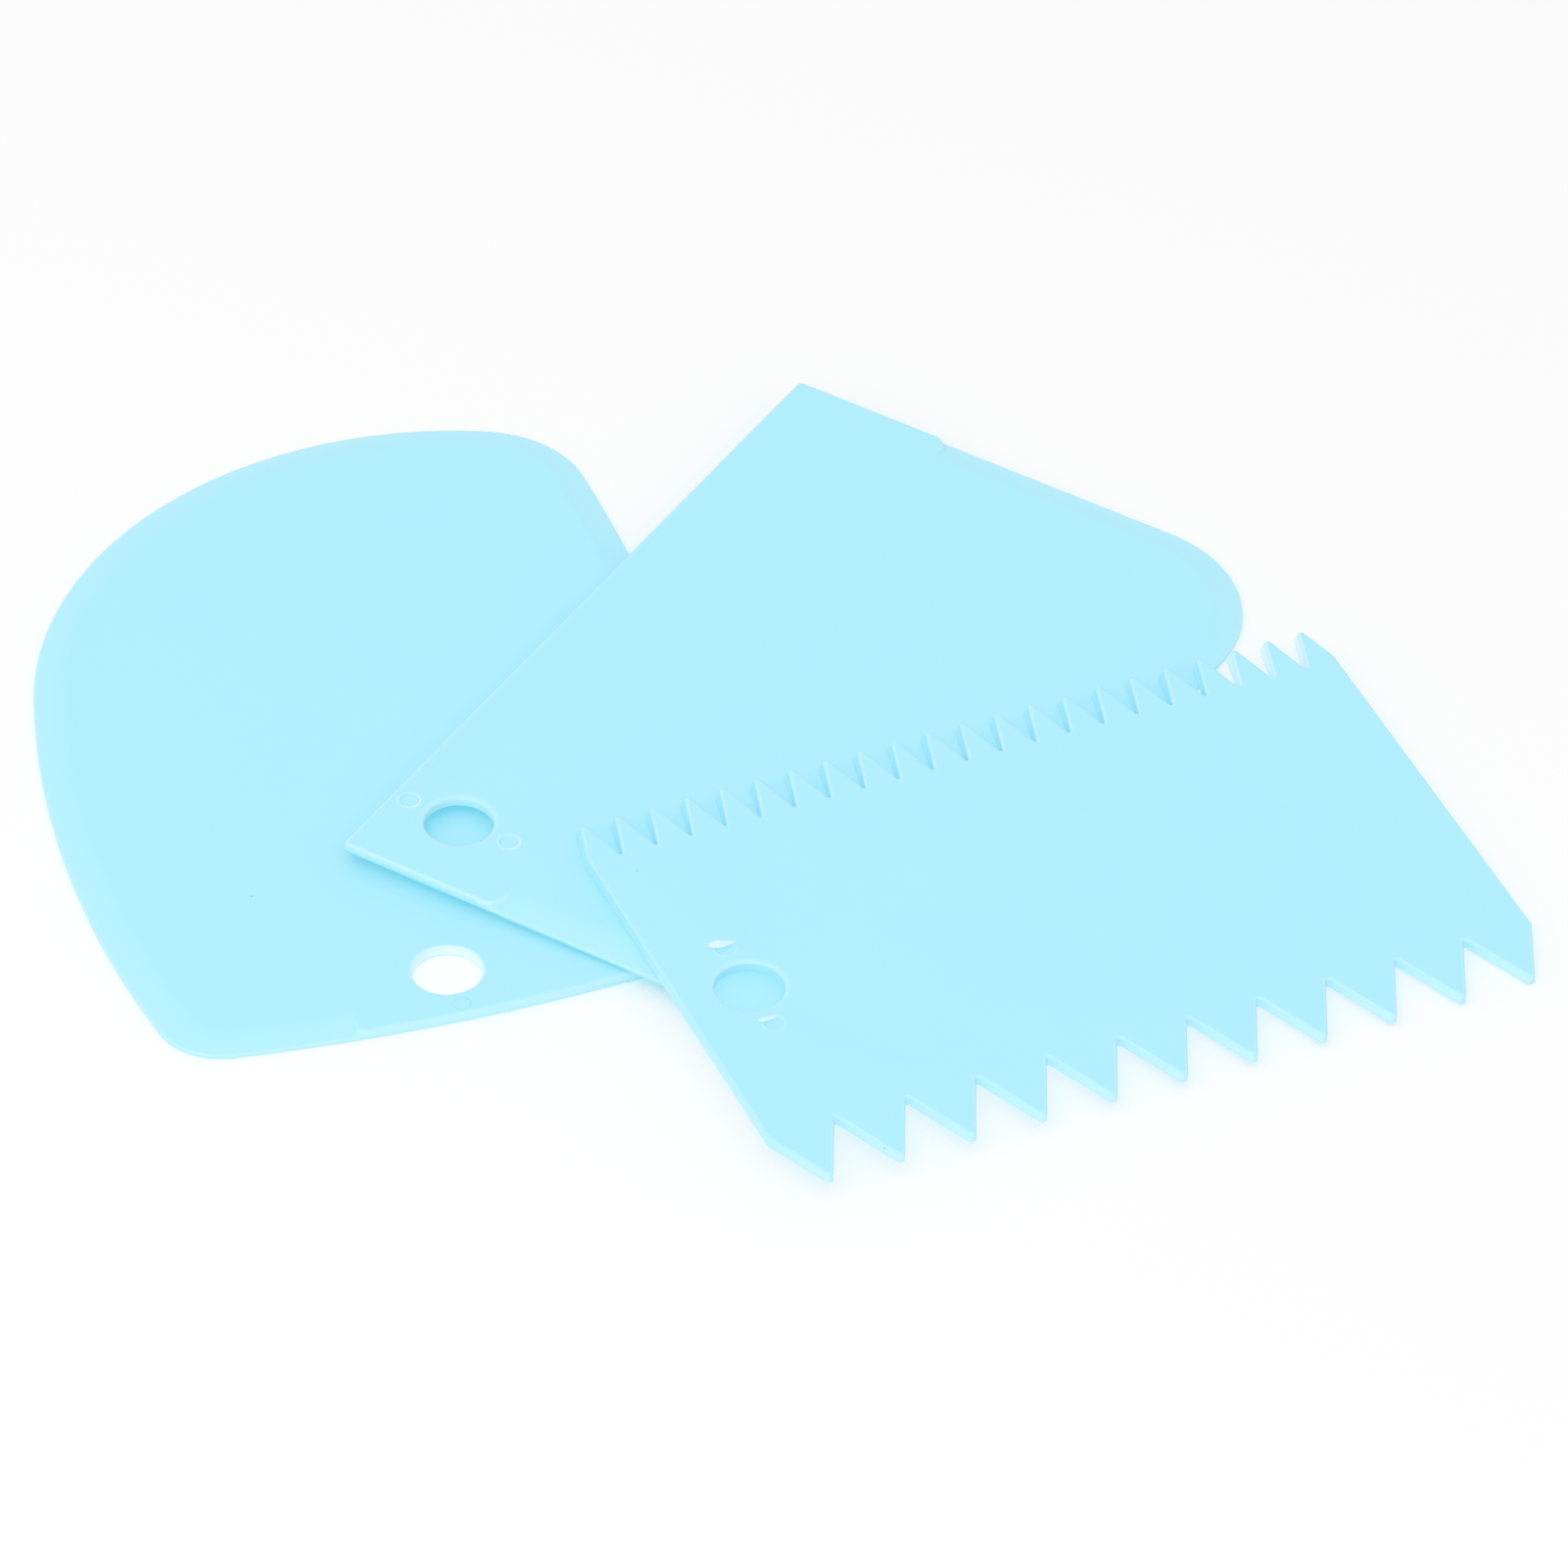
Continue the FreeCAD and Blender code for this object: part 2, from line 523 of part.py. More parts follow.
def make_comb(doc):
    """Builds the comb: plate, a row of big and a row of small teeth, hang hole and ejector marks."""
    body = doc.addObject("PartDesign::Body", "comb_scraper")
    thickness = "Sizes.comb_thickness"
    width = (S.comb_big_count * S.comb_pitch, "Sizes.comb_big_count * Sizes.comb_pitch")
    inset = (S.comb_side_inset, "Sizes.comb_side_inset")
    height = (S.comb_web_height, "Sizes.comb_web_height")
    right = (width[0] - inset[0], "%s - %s" % (width[1], inset[1]))
    plate = add_sketch(body, "comb_outline")
    rectangle(plate, (inset, (0, "")), (right, height))
    add_feature(body, "Pad", "comb_plate", {"Profile": plate}, {"Length": thickness})
    big = (S.comb_pitch, "Sizes.comb_pitch")
    small = (S.comb_pitch / S.comb_small_per_big, "Sizes.comb_pitch / Sizes.comb_small_per_big")
    add_row(body, "comb_big", big, (S.comb_big_depth, "Sizes.comb_big_depth"),
            "Sizes.comb_big_count", (0, "0"), -1)
    add_row(body, "comb_small", small, (S.comb_small_depth, "Sizes.comb_small_depth"),
            "Sizes.comb_big_count * Sizes.comb_small_per_big", height, 1)
    trim = add_sketch(body, "comb_sides_sketch", thickness)
    low = (-S.comb_big_depth, "Sizes.comb_big_depth")
    high = (height[0] + S.comb_small_depth, height[1] + " + Sizes.comb_small_depth")
    rectangle(trim, ((-inset[0], inset[1]), low), (inset, high))
    rectangle(trim, (right, low), ((width[0] + inset[0], "%s + %s" % (width[1], inset[1])), high))
    sides = add_feature(body, "Pocket", "comb_sides", {"Profile": trim, "Type": "ThroughAll"}, {})

    def is_corner(ends, middle):
        at_side = min(abs(middle.x - inset[0]), abs(middle.x - right[0])) < SAME
        return at_side and abs(ends[0].z - ends[-1].z) > S.comb_thickness / 2

    corners = dress(body, "Fillet", "comb_corners", sides, edges_where(sides, is_corner), {},
                    {"Radius": "Sizes.comb_corner_radius"})
    rim = edges_where(corners, lambda ends, middle: all(abs(end.z - S.comb_thickness) < SAME for end in ends))
    dress(body, "Chamfer", "comb_rim", corners, rim, {}, {"Size": "Sizes.comb_rim_bevel"})
    side = (S.comb_hole_from_side, "Sizes.comb_hole_from_side")
    middle = (S.comb_hole_from_roots, "Sizes.comb_hole_from_roots")
    drill(body, "comb_hole", thickness, (side, middle))
    spacing = S.comb_mark_spacing
    places = [(side, (middle[0] + sign * spacing, middle[1] + " %s Sizes.comb_mark_spacing" % word))
              for sign, word in ((-1, "-"), (1, "+"))]
    stamp_marks(body, "comb_marks", thickness, places)
    return body


# The stack

def turned(degrees, x, y):
    """Turns a place in plan about the upright axis."""
    angle = math.radians(degrees)
    return FreeCAD.Vector(x * math.cos(angle) - y * math.sin(angle), x * math.sin(angle) + y * math.cos(angle), 0)


def lean_of_stack():
    """Works out the slope of the straight scraper, which the comb lies flat on.

    The pair rests on the bowl scraper's thick corner, on the straight scraper's round corner at the
    table and on the comb's last big tooth at the table. Returns the height at the frame's origin and the
    slopes along X and Y of the straight scraper's lower face.
    """
    bowl_at = FreeCAD.Vector(-S.bowl_place_left, S.bowl_place_up, 0)
    straight_at = FreeCAD.Vector(-S.straight_place_left, S.straight_place_up, 0)
    corner, corner_radius = bowl_circles()[1]
    bowl_corner = bowl_at + turned(S.bowl_turn_deg, corner.x, corner.y)
    round_x = S.straight_width - S.straight_round_radius
    round_y = S.straight_length - S.straight_round_radius
    round_centre = straight_at + turned(S.straight_turn_deg, round_x, round_y)
    lean = math.atan(S.comb_pitch / 2 / S.comb_big_depth)
    tip_y = S.comb_tip_radius / math.sin(lean) - S.comb_big_depth
    tip_centre = FreeCAD.Vector((S.comb_big_count * 2 - 1) * S.comb_pitch / 2, tip_y, 0)
    heights = (S.bowl_thickness + S.seat_clearance, S.table_clearance,
               S.table_clearance - S.straight_thickness - S.seat_clearance)
    slope_x, slope_y = -1.0, 0.0
    for _ in range(20):
        down = FreeCAD.Vector(-slope_x, -slope_y, 0).normalize()
        rests = (bowl_corner + down * max(corner_radius - S.bowl_bevel_width, 0),
                 round_centre + down * S.straight_round_radius,
                 tip_centre + down * S.comb_tip_radius)
        first, second = rests[1] - rests[0], rests[2] - rests[0]
        rise_first, rise_second = heights[1] - heights[0], heights[2] - heights[0]
        area = first.x * second.y - first.y * second.x
        slope_x = (rise_first * second.y - rise_second * first.y) / area
        slope_y = (first.x * rise_second - second.x * rise_first) / area
    return heights[0] - slope_x * rests[0].x - slope_y * rests[0].y, slope_x, slope_y


def place_all(bowl, straight, comb):
    """Lays the plates on one another and puts the origin under the middle of their box."""
    base, slope_x, slope_y = lean_of_stack()
    tilt = FreeCAD.Rotation(UP, FreeCAD.Vector(-slope_x, -slope_y, 1))
    bowl_at = FreeCAD.Vector(-S.bowl_place_left, S.bowl_place_up, 0)
    straight_at = FreeCAD.Vector(-S.straight_place_left, S.straight_place_up, 0)
    straight_at.z = base + slope_x * straight_at.x + slope_y * straight_at.y
    comb_at = FreeCAD.Vector(0, 0, base + S.straight_thickness + S.seat_clearance)
    bowl.Placement = FreeCAD.Placement(bowl_at, FreeCAD.Rotation(UP, S.bowl_turn_deg))
    straight.Placement = FreeCAD.Placement(straight_at, tilt.multiply(FreeCAD.Rotation(UP, S.straight_turn_deg)))
    comb.Placement = FreeCAD.Placement(comb_at, tilt)
    bodies = (bowl, straight, comb)
    boxes = [body.Shape.optimalBoundingBox(False) for body in bodies]
    middle = FreeCAD.Vector((min(box.XMin for box in boxes) + max(box.XMax for box in boxes)) / 2,
                            (min(box.YMin for box in boxes) + max(box.YMax for box in boxes)) / 2, 0)
    for body in bodies:
        body.Placement = FreeCAD.Placement(body.Placement.Base - middle, body.Placement.Rotation)


def main():
    """Builds the three plates, checks them and writes one file for each."""
    doc = FreeCAD.newDocument("icing_scrapers")
    make_sheet(doc)
    bodies = [make_bowl(doc), make_straight(doc), make_comb(doc)]
    doc.recompute()
    place_all(*bodies)
    doc.recompute()
    for item in doc.Objects:
        if any(state in ("Invalid", "Error") for state in item.State):
            raise RuntimeError("%s did not build: %s" % (item.Label, item.State))
    os.makedirs("parts", exist_ok=True)
    for body in bodies:
        shape = body.Shape
        if shape.isNull() or not shape.isValid() or len(shape.Solids) != 1:
            raise RuntimeError("%s is not one sound solid" % body.Label)
        shape.exportStep(os.path.join("parts", body.Label + ".step"))
        print(body.Label, "volume %.1f" % shape.Volume, body.Placement)


main()
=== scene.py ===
"""Three moulded icing scrapers that lie loose on one another: bowl scraper, straight scraper and comb.

Each plate is drawn flat in its own millimetres, near the part's sizes and with finer edges, and is then
laid where the frame's record puts its hang hole. The frame is in metres, with +Z up from the table.
A plate's vertices carry a tone of painted light and shade: the plastic is painted paler, as if lit, where it
is over 0, and darker, as if shaded, where it is under 0.
"""
import json
import logging
import math
from abc import ABC, abstractmethod
from dataclasses import dataclass, replace
from enum import Enum
from typing import Callable, ClassVar, Sequence, Union

import bmesh
import bpy
from bmesh.types import BMEdge, BMesh, BMVert
from mathutils import Matrix, Vector


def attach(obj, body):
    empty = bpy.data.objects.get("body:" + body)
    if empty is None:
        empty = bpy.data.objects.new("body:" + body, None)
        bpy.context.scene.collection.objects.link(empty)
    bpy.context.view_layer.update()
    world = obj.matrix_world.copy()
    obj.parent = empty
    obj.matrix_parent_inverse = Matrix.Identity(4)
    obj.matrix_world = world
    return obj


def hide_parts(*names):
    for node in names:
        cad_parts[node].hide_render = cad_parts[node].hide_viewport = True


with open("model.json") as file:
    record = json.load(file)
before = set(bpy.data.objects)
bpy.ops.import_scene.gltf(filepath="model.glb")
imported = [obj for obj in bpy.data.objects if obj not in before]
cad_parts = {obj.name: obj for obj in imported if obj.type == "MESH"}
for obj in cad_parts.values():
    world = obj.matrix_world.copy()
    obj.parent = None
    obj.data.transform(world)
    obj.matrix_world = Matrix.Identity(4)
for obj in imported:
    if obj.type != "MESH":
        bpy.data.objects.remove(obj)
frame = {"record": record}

LOG = logging.getLogger("icing_scrapers")
MILLIMETRE = 0.001
UP = Vector((0, 0, 1))
# Two points of a plate closer than this, in millimetres, are one.
SAME_POINT = 0.002

Colour = tuple[float, float, float]
Point = tuple[float, float]
Feed = Union["Wire", float, Sequence[float]]


class Wire:
    """A node's output, with arithmetic that adds Math nodes to its tree."""

    def __init__(self, bench: "Bench", socket: bpy.types.NodeSocket) -> None:
        """Keeps the socket and the bench that its tree is built on."""
        self.bench = bench
        self.socket = socket

    def __add__(self, other: Feed) -> "Wire":
        """Adds a value."""
        return self.bench.math("ADD", self, other)

    __radd__ = __add__

    def __sub__(self, other: Feed) -> "Wire":
        """Takes a value away."""
        return self.bench.math("SUBTRACT", self, other)

    def __rsub__(self, other: Feed) -> "Wire":
        """Is taken away from a value."""
        return self.bench.math("SUBTRACT", other, self)

    def __mul__(self, other: Feed) -> "Wire":
        """Multiplies by a value."""
        return self.bench.math("MULTIPLY", self, other)

    __rmul__ = __mul__

    def __gt__(self, other: Feed) -> "Wire":
        """Is 1 where the wire is over a value and 0 elsewhere."""
        return self.bench.math("GREATER_THAN", self, other)

    def __lt__(self, other: Feed) -> "Wire":
        """Is 1 where the wire is under a value and 0 elsewhere."""
        return self.bench.math("LESS_THAN", self, other)


class Bench:
    """Builds one node tree from nothing."""

    def __init__(self, owner: Union[bpy.types.Material, bpy.types.World]) -> None:
        """Gives a material or a world an empty tree."""
        owner.use_nodes = True
        self.tree = owner.node_tree
        self.tree.nodes.clear()

    def add(self, kind: str, settings: dict[str, object], sockets: dict[Union[str, int], Feed],
            output: str = "") -> Wire:
        """Adds a node.

        Args:
            kind: The node's type.
            settings: Its properties, which are set first.
            sockets: Values or wires for its inputs, by their names or numbers.
            output: The name of the output to return, or nothing for the first that is in use.

        Returns:
            The wire of that output, or of the first input for a node without outputs.
        """
        node = self.tree.nodes.new(kind)
        for name, value in settings.items():
            setattr(node, name, value)
        for name, value in sockets.items():
            socket = node.inputs[name] if isinstance(name, int) else next(
                item for item in node.inputs if item.name == name and not item.is_unavailable)
            if isinstance(value, Wire):
                self.tree.links.new(value.socket, socket)
            else:
                socket.default_value = value
        ends = [item for item in node.outputs if not item.is_unavailable and output in ("", item.name)]
        return Wire(self, (ends or list(node.inputs))[0])

    def math(self, operation: str, first: Feed, second: Feed) -> Wire:
        """Adds a Math node on two values."""
        return self.add("ShaderNodeMath", {"operation": operation}, {0: first, 1: second})

    def mix(self, share: Feed, first: Wire, second: Wire) -> Wire:
        """Mixes two shaders, the first at a share of 0 and the second at 1."""
        return self.add("ShaderNodeMixShader", {}, {0: share, 1: first, 2: second})

    def blend(self, share: Feed, first: Feed, second: Feed) -> Wire:
        """Mixes two colours or their wires, the first at a share of 0 and the second at 1."""
        colours = [value if isinstance(value, Wire) else (*value, 1) for value in (first, second)]
        return self.add("ShaderNodeMix", {"data_type": "RGBA"},
                        {"Factor": share, "A": colours[0], "B": colours[1]}, "Result")


@dataclass(frozen=True)
class MouldedPlastic:
    """A pale, slightly translucent moulded plastic with a soft gloss."""

    name: str
    body: Colour
    cloudy: Colour
    # The colours that the tone blends to: painted light over 0 and painted shade under 0.
    painted_light: Colour
    painted_shade: Colour
    speck: Colour
    passing: Colour
    roughness: float = 0.4
    cloud_size: float = 14.0
    grain_size: float = 0.45
    grain_strength: float = 0.12
    grain_depth: float = 0.04
    cloud_gloss: float = 0.1
    grain_gloss: float = 0.06
    speck_spacing: float = 9.0
    speck_radius: float = 0.16
    speck_chance: float = 0.2
    speck_strength: float = 0.7
    refraction: float = 1.49
    # A face whose normal's Z is under this looks down.
    down_tilt: float = -0.3

    def make(self) -> bpy.types.Material:
        """Builds the material.

        Returns:
            A material whose colour and gloss drift, with faint grain, a few specks, and the piece's tone of
            painted light and shade: painted highlights and light painted through thin plastic over 0, and
            painted shade under 0. It throws back the light that falls on it and lets part of it through to
            what lies under it.
        """
        material = bpy.data.materials.new(self.name)
        bench = Bench(material)
        place = bench.add("ShaderNodeTexCoord", {}, {}, "Object")
        cloud = self._noise(bench, place, self.cloud_size, 3)
        grain = self._noise(bench, place, self.grain_size, 2)
        # The tone paints light and shade into the colour: lit paler over 0 and shaded deeper under 0.
        tone = bench.add("ShaderNodeAttribute", {"attribute_name": "tone"}, {}, "Fac")
        colour = bench.blend(cloud, self.body, self.cloudy)
        colour = bench.blend(tone, colour, self.painted_light)
        colour = bench.blend(0 - tone, colour, self.painted_shade)
        colour = bench.blend(self._specks(bench, place), colour, self.speck)
        bump = bench.add("ShaderNodeBump", {}, {
            "Strength": self.grain_strength, "Distance": self.grain_depth * MILLIMETRE, "Height": grain})
        gloss = self.roughness + self.cloud_gloss * (cloud - 0.5) + self.grain_gloss * (grain - 0.5)
        surface = bench.add("ShaderNodeBsdfPrincipled", {}, {
            "Base Color": colour,
            "Roughness": gloss,
            "IOR": self.refraction,
            "Normal": bump,
        })
        clear = bench.add("ShaderNodeBsdfTransparent", {}, {"Color": (*self.passing, 1)})
        facing = bench.add("ShaderNodeNewGeometry", {}, {}, "True Normal")
        tilt = bench.add("ShaderNodeSeparateXYZ", {}, {"Vector": facing}, "Z")
        from_under = bench.mix(tilt < self.down_tilt, surface, clear)
        for ray, seen in (("Is Diffuse Ray", from_under), ("Is Shadow Ray", clear)):
            surface = bench.mix(bench.add("ShaderNodeLightPath", {}, {}, ray), surface, seen)
        bench.add("ShaderNodeOutputMaterial", {}, {"Surface": surface})
        return material

    def _noise(self, bench: Bench, place: Wire, size: float, detail: float) -> Wire:
        """Adds a noise.

        Args:
            bench: The material's bench.
            place: Where on the piece it is read.
            size: The size of its patches in millimetres.
            detail: How many finer layers it has.

        Returns:
            A wire from 0 to 1.
        """
        return bench.add("ShaderNodeTexNoise", {"noise_dimensions": "3D"}, {
            "Vector": place, "Scale": 1 / (size * MILLIMETRE), "Detail": detail, "Roughness": 0.5}, "Fac")

    def _specks(self, bench: Bench, place: Wire) -> Wire:
        """Adds sparse dots of grit.

        Args:
            bench: The material's bench.
            place: Where on the piece they are read.

        Returns:
            A wire that is over 0 in a dot.
        """
        scale = 1 / (self.speck_spacing * MILLIMETRE)
        cells = {"Vector": place, "Scale": scale, "Randomness": 1.0}
        reach = bench.add("ShaderNodeTexVoronoi", {"feature": "F1"}, cells, "Distance")
        tint = bench.add("ShaderNodeTexVoronoi", {"feature": "F1"}, cells, "Color")
        chance = bench.add("ShaderNodeSeparateColor", {}, {"Color": tint}, "Red")
        inside = reach < self.speck_radius / self.speck_spacing
        return self.speck_strength * inside * (chance > 1 - self.speck_chance)


@dataclass(frozen=True)
class PaperGround:
    """The plain white paper that the scrapers lie on."""

    name: str
    colour: Colour
    tooth_per_metre: float = 900.0
    tooth_strength: float = 0.05
    tooth_depth: float = 0.03

    def make(self) -> bpy.types.Material:
        """Builds a matt material with a faint tooth."""
        material = bpy.data.materials.new(self.name)
        bench = Bench(material)
        place = bench.add("ShaderNodeTexCoord", {}, {}, "Object")
        tooth = bench.add("ShaderNodeTexNoise", {}, {"Vector": place, "Scale": self.tooth_per_metre}, "Fac")
        bump = bench.add("ShaderNodeBump", {}, {
            "Strength": self.tooth_strength, "Distance": self.tooth_depth * MILLIMETRE, "Height": tooth})
        surface = bench.add("ShaderNodeBsdfDiffuse", {}, {"Color": (*self.colour, 1), "Normal": bump})
        bench.add("ShaderNodeOutputMaterial", {}, {"Surface": surface})
        return material


def put_in_scene(name: str, data: bpy.types.ID) -> bpy.types.Object:
    """Adds an object to the scene, from its mesh, light or camera."""
    made = bpy.data.objects.new(name, data)
    bpy.context.scene.collection.objects.link(made)
    return made


def put_mesh(name: str, shape: BMesh, finish: bpy.types.Material) -> bpy.types.Object:
    """Adds a finished mesh to the scene.

    Args:
        name: The name of its object.
        shape: The mesh, which is freed.
        finish: Its material.

    Returns:
        Its object.
    """
    mesh = bpy.data.meshes.new(name)
    shape.to_mesh(mesh)
    shape.free()
    mesh.materials.append(finish)
    return put_in_scene(name, mesh)


def looking(place: Vector, target: Vector) -> Matrix:
    """Gives the matrix of a lamp or camera at a place that looks at a target."""
    return Matrix.Translation(place) @ (target - place).to_track_quat("-Z", "Y").to_matrix().to_4x4()


@dataclass(frozen=True)
class Spot:
    """Where a ring of a rim stands above one outline point, and the tone of painted light and shade there.
    """

    inset: float
    height: float
    tone: float


Surface = Callable[[Vector, float], Spot]


class Rim:
    """A closed loop of edges that grows into a surface, ring by ring.

    Every vertex remembers its outline point and the way inwards from it, so each ring is placed from the
    outline itself and not from the ring before it.
    """

    def __init__(self, shape: BMesh, edges: list[BMEdge]) -> None:
        """Takes over a loop that is already drawn.

        Args:
            shape: The mesh being built, whose vertices have the layers home, inward and tone.
            edges: The loop's edges.
        """
        self.shape = shape
        self.edges = edges
        self.home = shape.verts.layers.float_vector["home"]
        self.inward = shape.verts.layers.float_vector["inward"]
        self.tone = shape.verts.layers.float["tone"]

    def settle(self, surface: Surface, inset: float) -> None:
        """Moves the loop itself onto a surface.

        Args:
            surface: Gives a spot for an outline point and an inset.
            inset: The inset to ask for.
        """
        for vertex in dict.fromkeys(corner for edge in self.edges for corner in edge.verts):
            spot = surface(vertex[self.home], inset)
            vertex.co = vertex[self.home] + vertex[self.inward] * spot.inset + UP * spot.height
            vertex[self.tone] = spot.tone

    def climb(self, surface: Surface, inset: float) -> None:
        """Adds one ring and moves it onto a surface as settle does."""
        made = bmesh.ops.extrude_edge_only(self.shape, edges=self.edges)
        self.edges = [item for item in made["geom"] if isinstance(item, BMEdge)]
        self.settle(surface, inset)


class Pen:
    """Draws one closed outline as runs and arcs that follow smoothly on each other."""

    def __init__(self, shape: BMesh, start: Vector, heading_deg: float) -> None:
        """Puts the pen down.

        Args:
            shape: The mesh being built.
            start: The outline's first point.
            heading_deg: The way the pen goes from there, anticlockwise from +X.
        """
        self.shape = shape
        self.heading = math.radians(heading_deg)
        self.home = shape.verts.layers.float_vector["home"]
        self.inward = shape.verts.layers.float_vector["inward"]
        self.known = len(shape.edges)
        self.tip = bmesh.ops.create_vert(shape, co=start)["vert"][0]
        self._note(self.tip, self._left())

    def _left(self) -> Vector:
        """Gives the way to the left of the pen, which is into the plate."""
        return Vector((-math.sin(self.heading), math.cos(self.heading), 0))

    def _note(self, vertex: BMVert, inward: Vector) -> None:
        """Stores a vertex's own place and the way inwards from it."""
        vertex[self.home] = vertex.co
        vertex[self.inward] = inward

    def run(self, length: float) -> None:
        """Draws a straight stretch of the given length."""
        self.tip = bmesh.ops.extrude_vert_indiv(self.shape, verts=[self.tip])["verts"][0]
        step = Vector((math.cos(self.heading), math.sin(self.heading), 0)) * length
        bmesh.ops.translate(self.shape, verts=[self.tip], vec=step)
        self._note(self.tip, self._left())

    def arc(self, radius: float, turn_deg: float, steps: int) -> None:
        """Draws an arc.

        Args:
            radius: Its radius.
            turn_deg: How far the pen turns, over 0 to the left and under 0 to the right.
            steps: How many edges it has.
        """
        side = math.copysign(1, turn_deg)
        centre = self.tip.co + self._left() * (radius * side)
        known = len(self.shape.verts)
        made = bmesh.ops.spin(self.shape, geom=[self.tip], cent=centre, axis=UP,
                              angle=math.radians(turn_deg), steps=steps, use_merge=False)
        self.shape.verts.ensure_lookup_table()
        for vertex in self.shape.verts[known:]:
            self._note(vertex, (centre - vertex.co).normalized() * side)
        self.tip = next(item for item in made["geom_last"] if isinstance(item, BMVert))
        self.heading += math.radians(turn_deg)

    def close(self) -> Rim:
        """Joins the outline's last point to its first.

        Returns:
            The rim of the closed outline.
        """
        self.shape.edges.ensure_lookup_table()
        edges = self.shape.edges[self.known:]
        ends = dict.fromkeys(corner for edge in edges for corner in edge.verts)
        bmesh.ops.remove_doubles(self.shape, verts=list(ends), dist=SAME_POINT)
        self.shape.edges.ensure_lookup_table()
        return Rim(self.shape, self.shape.edges[self.known:])


@dataclass(frozen=True)
class Circle:
    """One circle of an outline made of arcs."""

    centre: Vector
    radius: float

    def meets(self, inner: "Circle") -> Vector:
        """Finds where a circle inside this one touches it.

        Args:
            inner: The smaller circle.

        Returns:
            The point that they share.
        """
        return self.centre + (inner.centre - self.centre).normalized() * self.radius

    def nestle(self, other: "Circle", radius: float, near: Vector) -> "Circle":
        """Fits a circle that touches this one and another from inside.

        Args:
            other: The other circle.
            radius: The radius of the fitted circle.
            near: A point beside it, which tells it from its mirror image.

        Returns:
            The fitted circle.
        """
        reach, far = self.radius - radius, other.radius - radius
        gap = (other.centre - self.centre).length
        along = (other.centre - self.centre) / gap
        step = (reach ** 2 - far ** 2 + gap ** 2) / (2 * gap)
        rise = UP.cross(along) * math.sqrt(reach ** 2 - step ** 2)
        centres = [self.centre + along * step + rise * side for side in (1, -1)]
        return Circle(min(centres, key=lambda centre: (centre - near).length), radius)

    def sweep(self, start: Vector, end: Vector) -> float:
        """Measures an arc.

        Args:
            start: Where it starts.
            end: Where it ends, anticlockwise from there.

        Returns:
            Its angle in degrees.
        """
        angles = [math.atan2(point.y - self.centre.y, point.x - self.centre.x) for point in (start, end)]
        return math.degrees(angles[1] - angles[0]) % 360


class Lip(Enum):
    """What is round an ejector mark: for each inset from its ring, a height over the face and a tone of
    painted light and shade, a painted highlight over 0 and painted shade under 0.
    """

    NONE = {0.06: (-0.003, -0.21), 0.18: (-0.03, -0.35), 0.32: (-0.09, 0), 0.64: (-0.09, 0)}
    RING = {0.07: (0.01, 0.15), 0.22: (0.06, 0.4), 0.42: (0.06, 0.45),
            0.52: (-0.04, -0.35), 0.6: (-0.08, -0.1), 0.75: (-0.09, 0)}


@dataclass(frozen=True)
class Flash:
    """A leaf of plastic that the tool left standing beside an ejector mark, painted pale as a highlight."""

    middle: Point
    length: float
    width: float
    turn_deg: float
    tilt_deg: float = -9.0
    rise: float = 0.16
    thickness: float = 0.07
    skew: float = 0.14
    tone: float = 0.85
    # The leaf's tone is a painted highlight: its share of that tone in its middle, and how much it loses
    # from end to end.
    middle_share: float = 0.75
    share_lost: float = 0.5
    steps: int = 28

    def grow(self, shape: BMesh, place: Vector) -> None:
        """Adds the leaf.

        Args:
            shape: The mesh being built.
            place: The middle of the ejector mark.
        """
        leaf = bmesh.ops.create_circle(shape, cap_ends=True, segments=self.steps, radius=0.5)["verts"]
        tone = shape.verts.layers.float["tone"]
        for vertex in leaf:
            taper = math.sqrt(max(1 - 4 * vertex.co.x ** 2, 0))
            vertex.co.y *= taper
            vertex.co.x -= self.skew * taper ** 2
            # Paints the leaf's highlight, brightest at one end.
            vertex[tone] = self.tone * (self.middle_share - self.share_lost * vertex.co.x)
        lay = (Matrix.Translation(place + Vector((*self.middle, self.rise)))
               @ Matrix.Rotation(math.radians(self.turn_deg), 4, "Z")
               @ Matrix.Rotation(math.radians(self.tilt_deg), 4, "X")
               @ Matrix.Diagonal((self.length, self.width, 1, 1)))
        bmesh.ops.transform(shape, matrix=lay, verts=leaf)
        faces = list(dict.fromkeys(face for vertex in leaf for face in vertex.link_faces))
        bmesh.ops.solidify(shape, geom=faces, thickness=self.thickness)


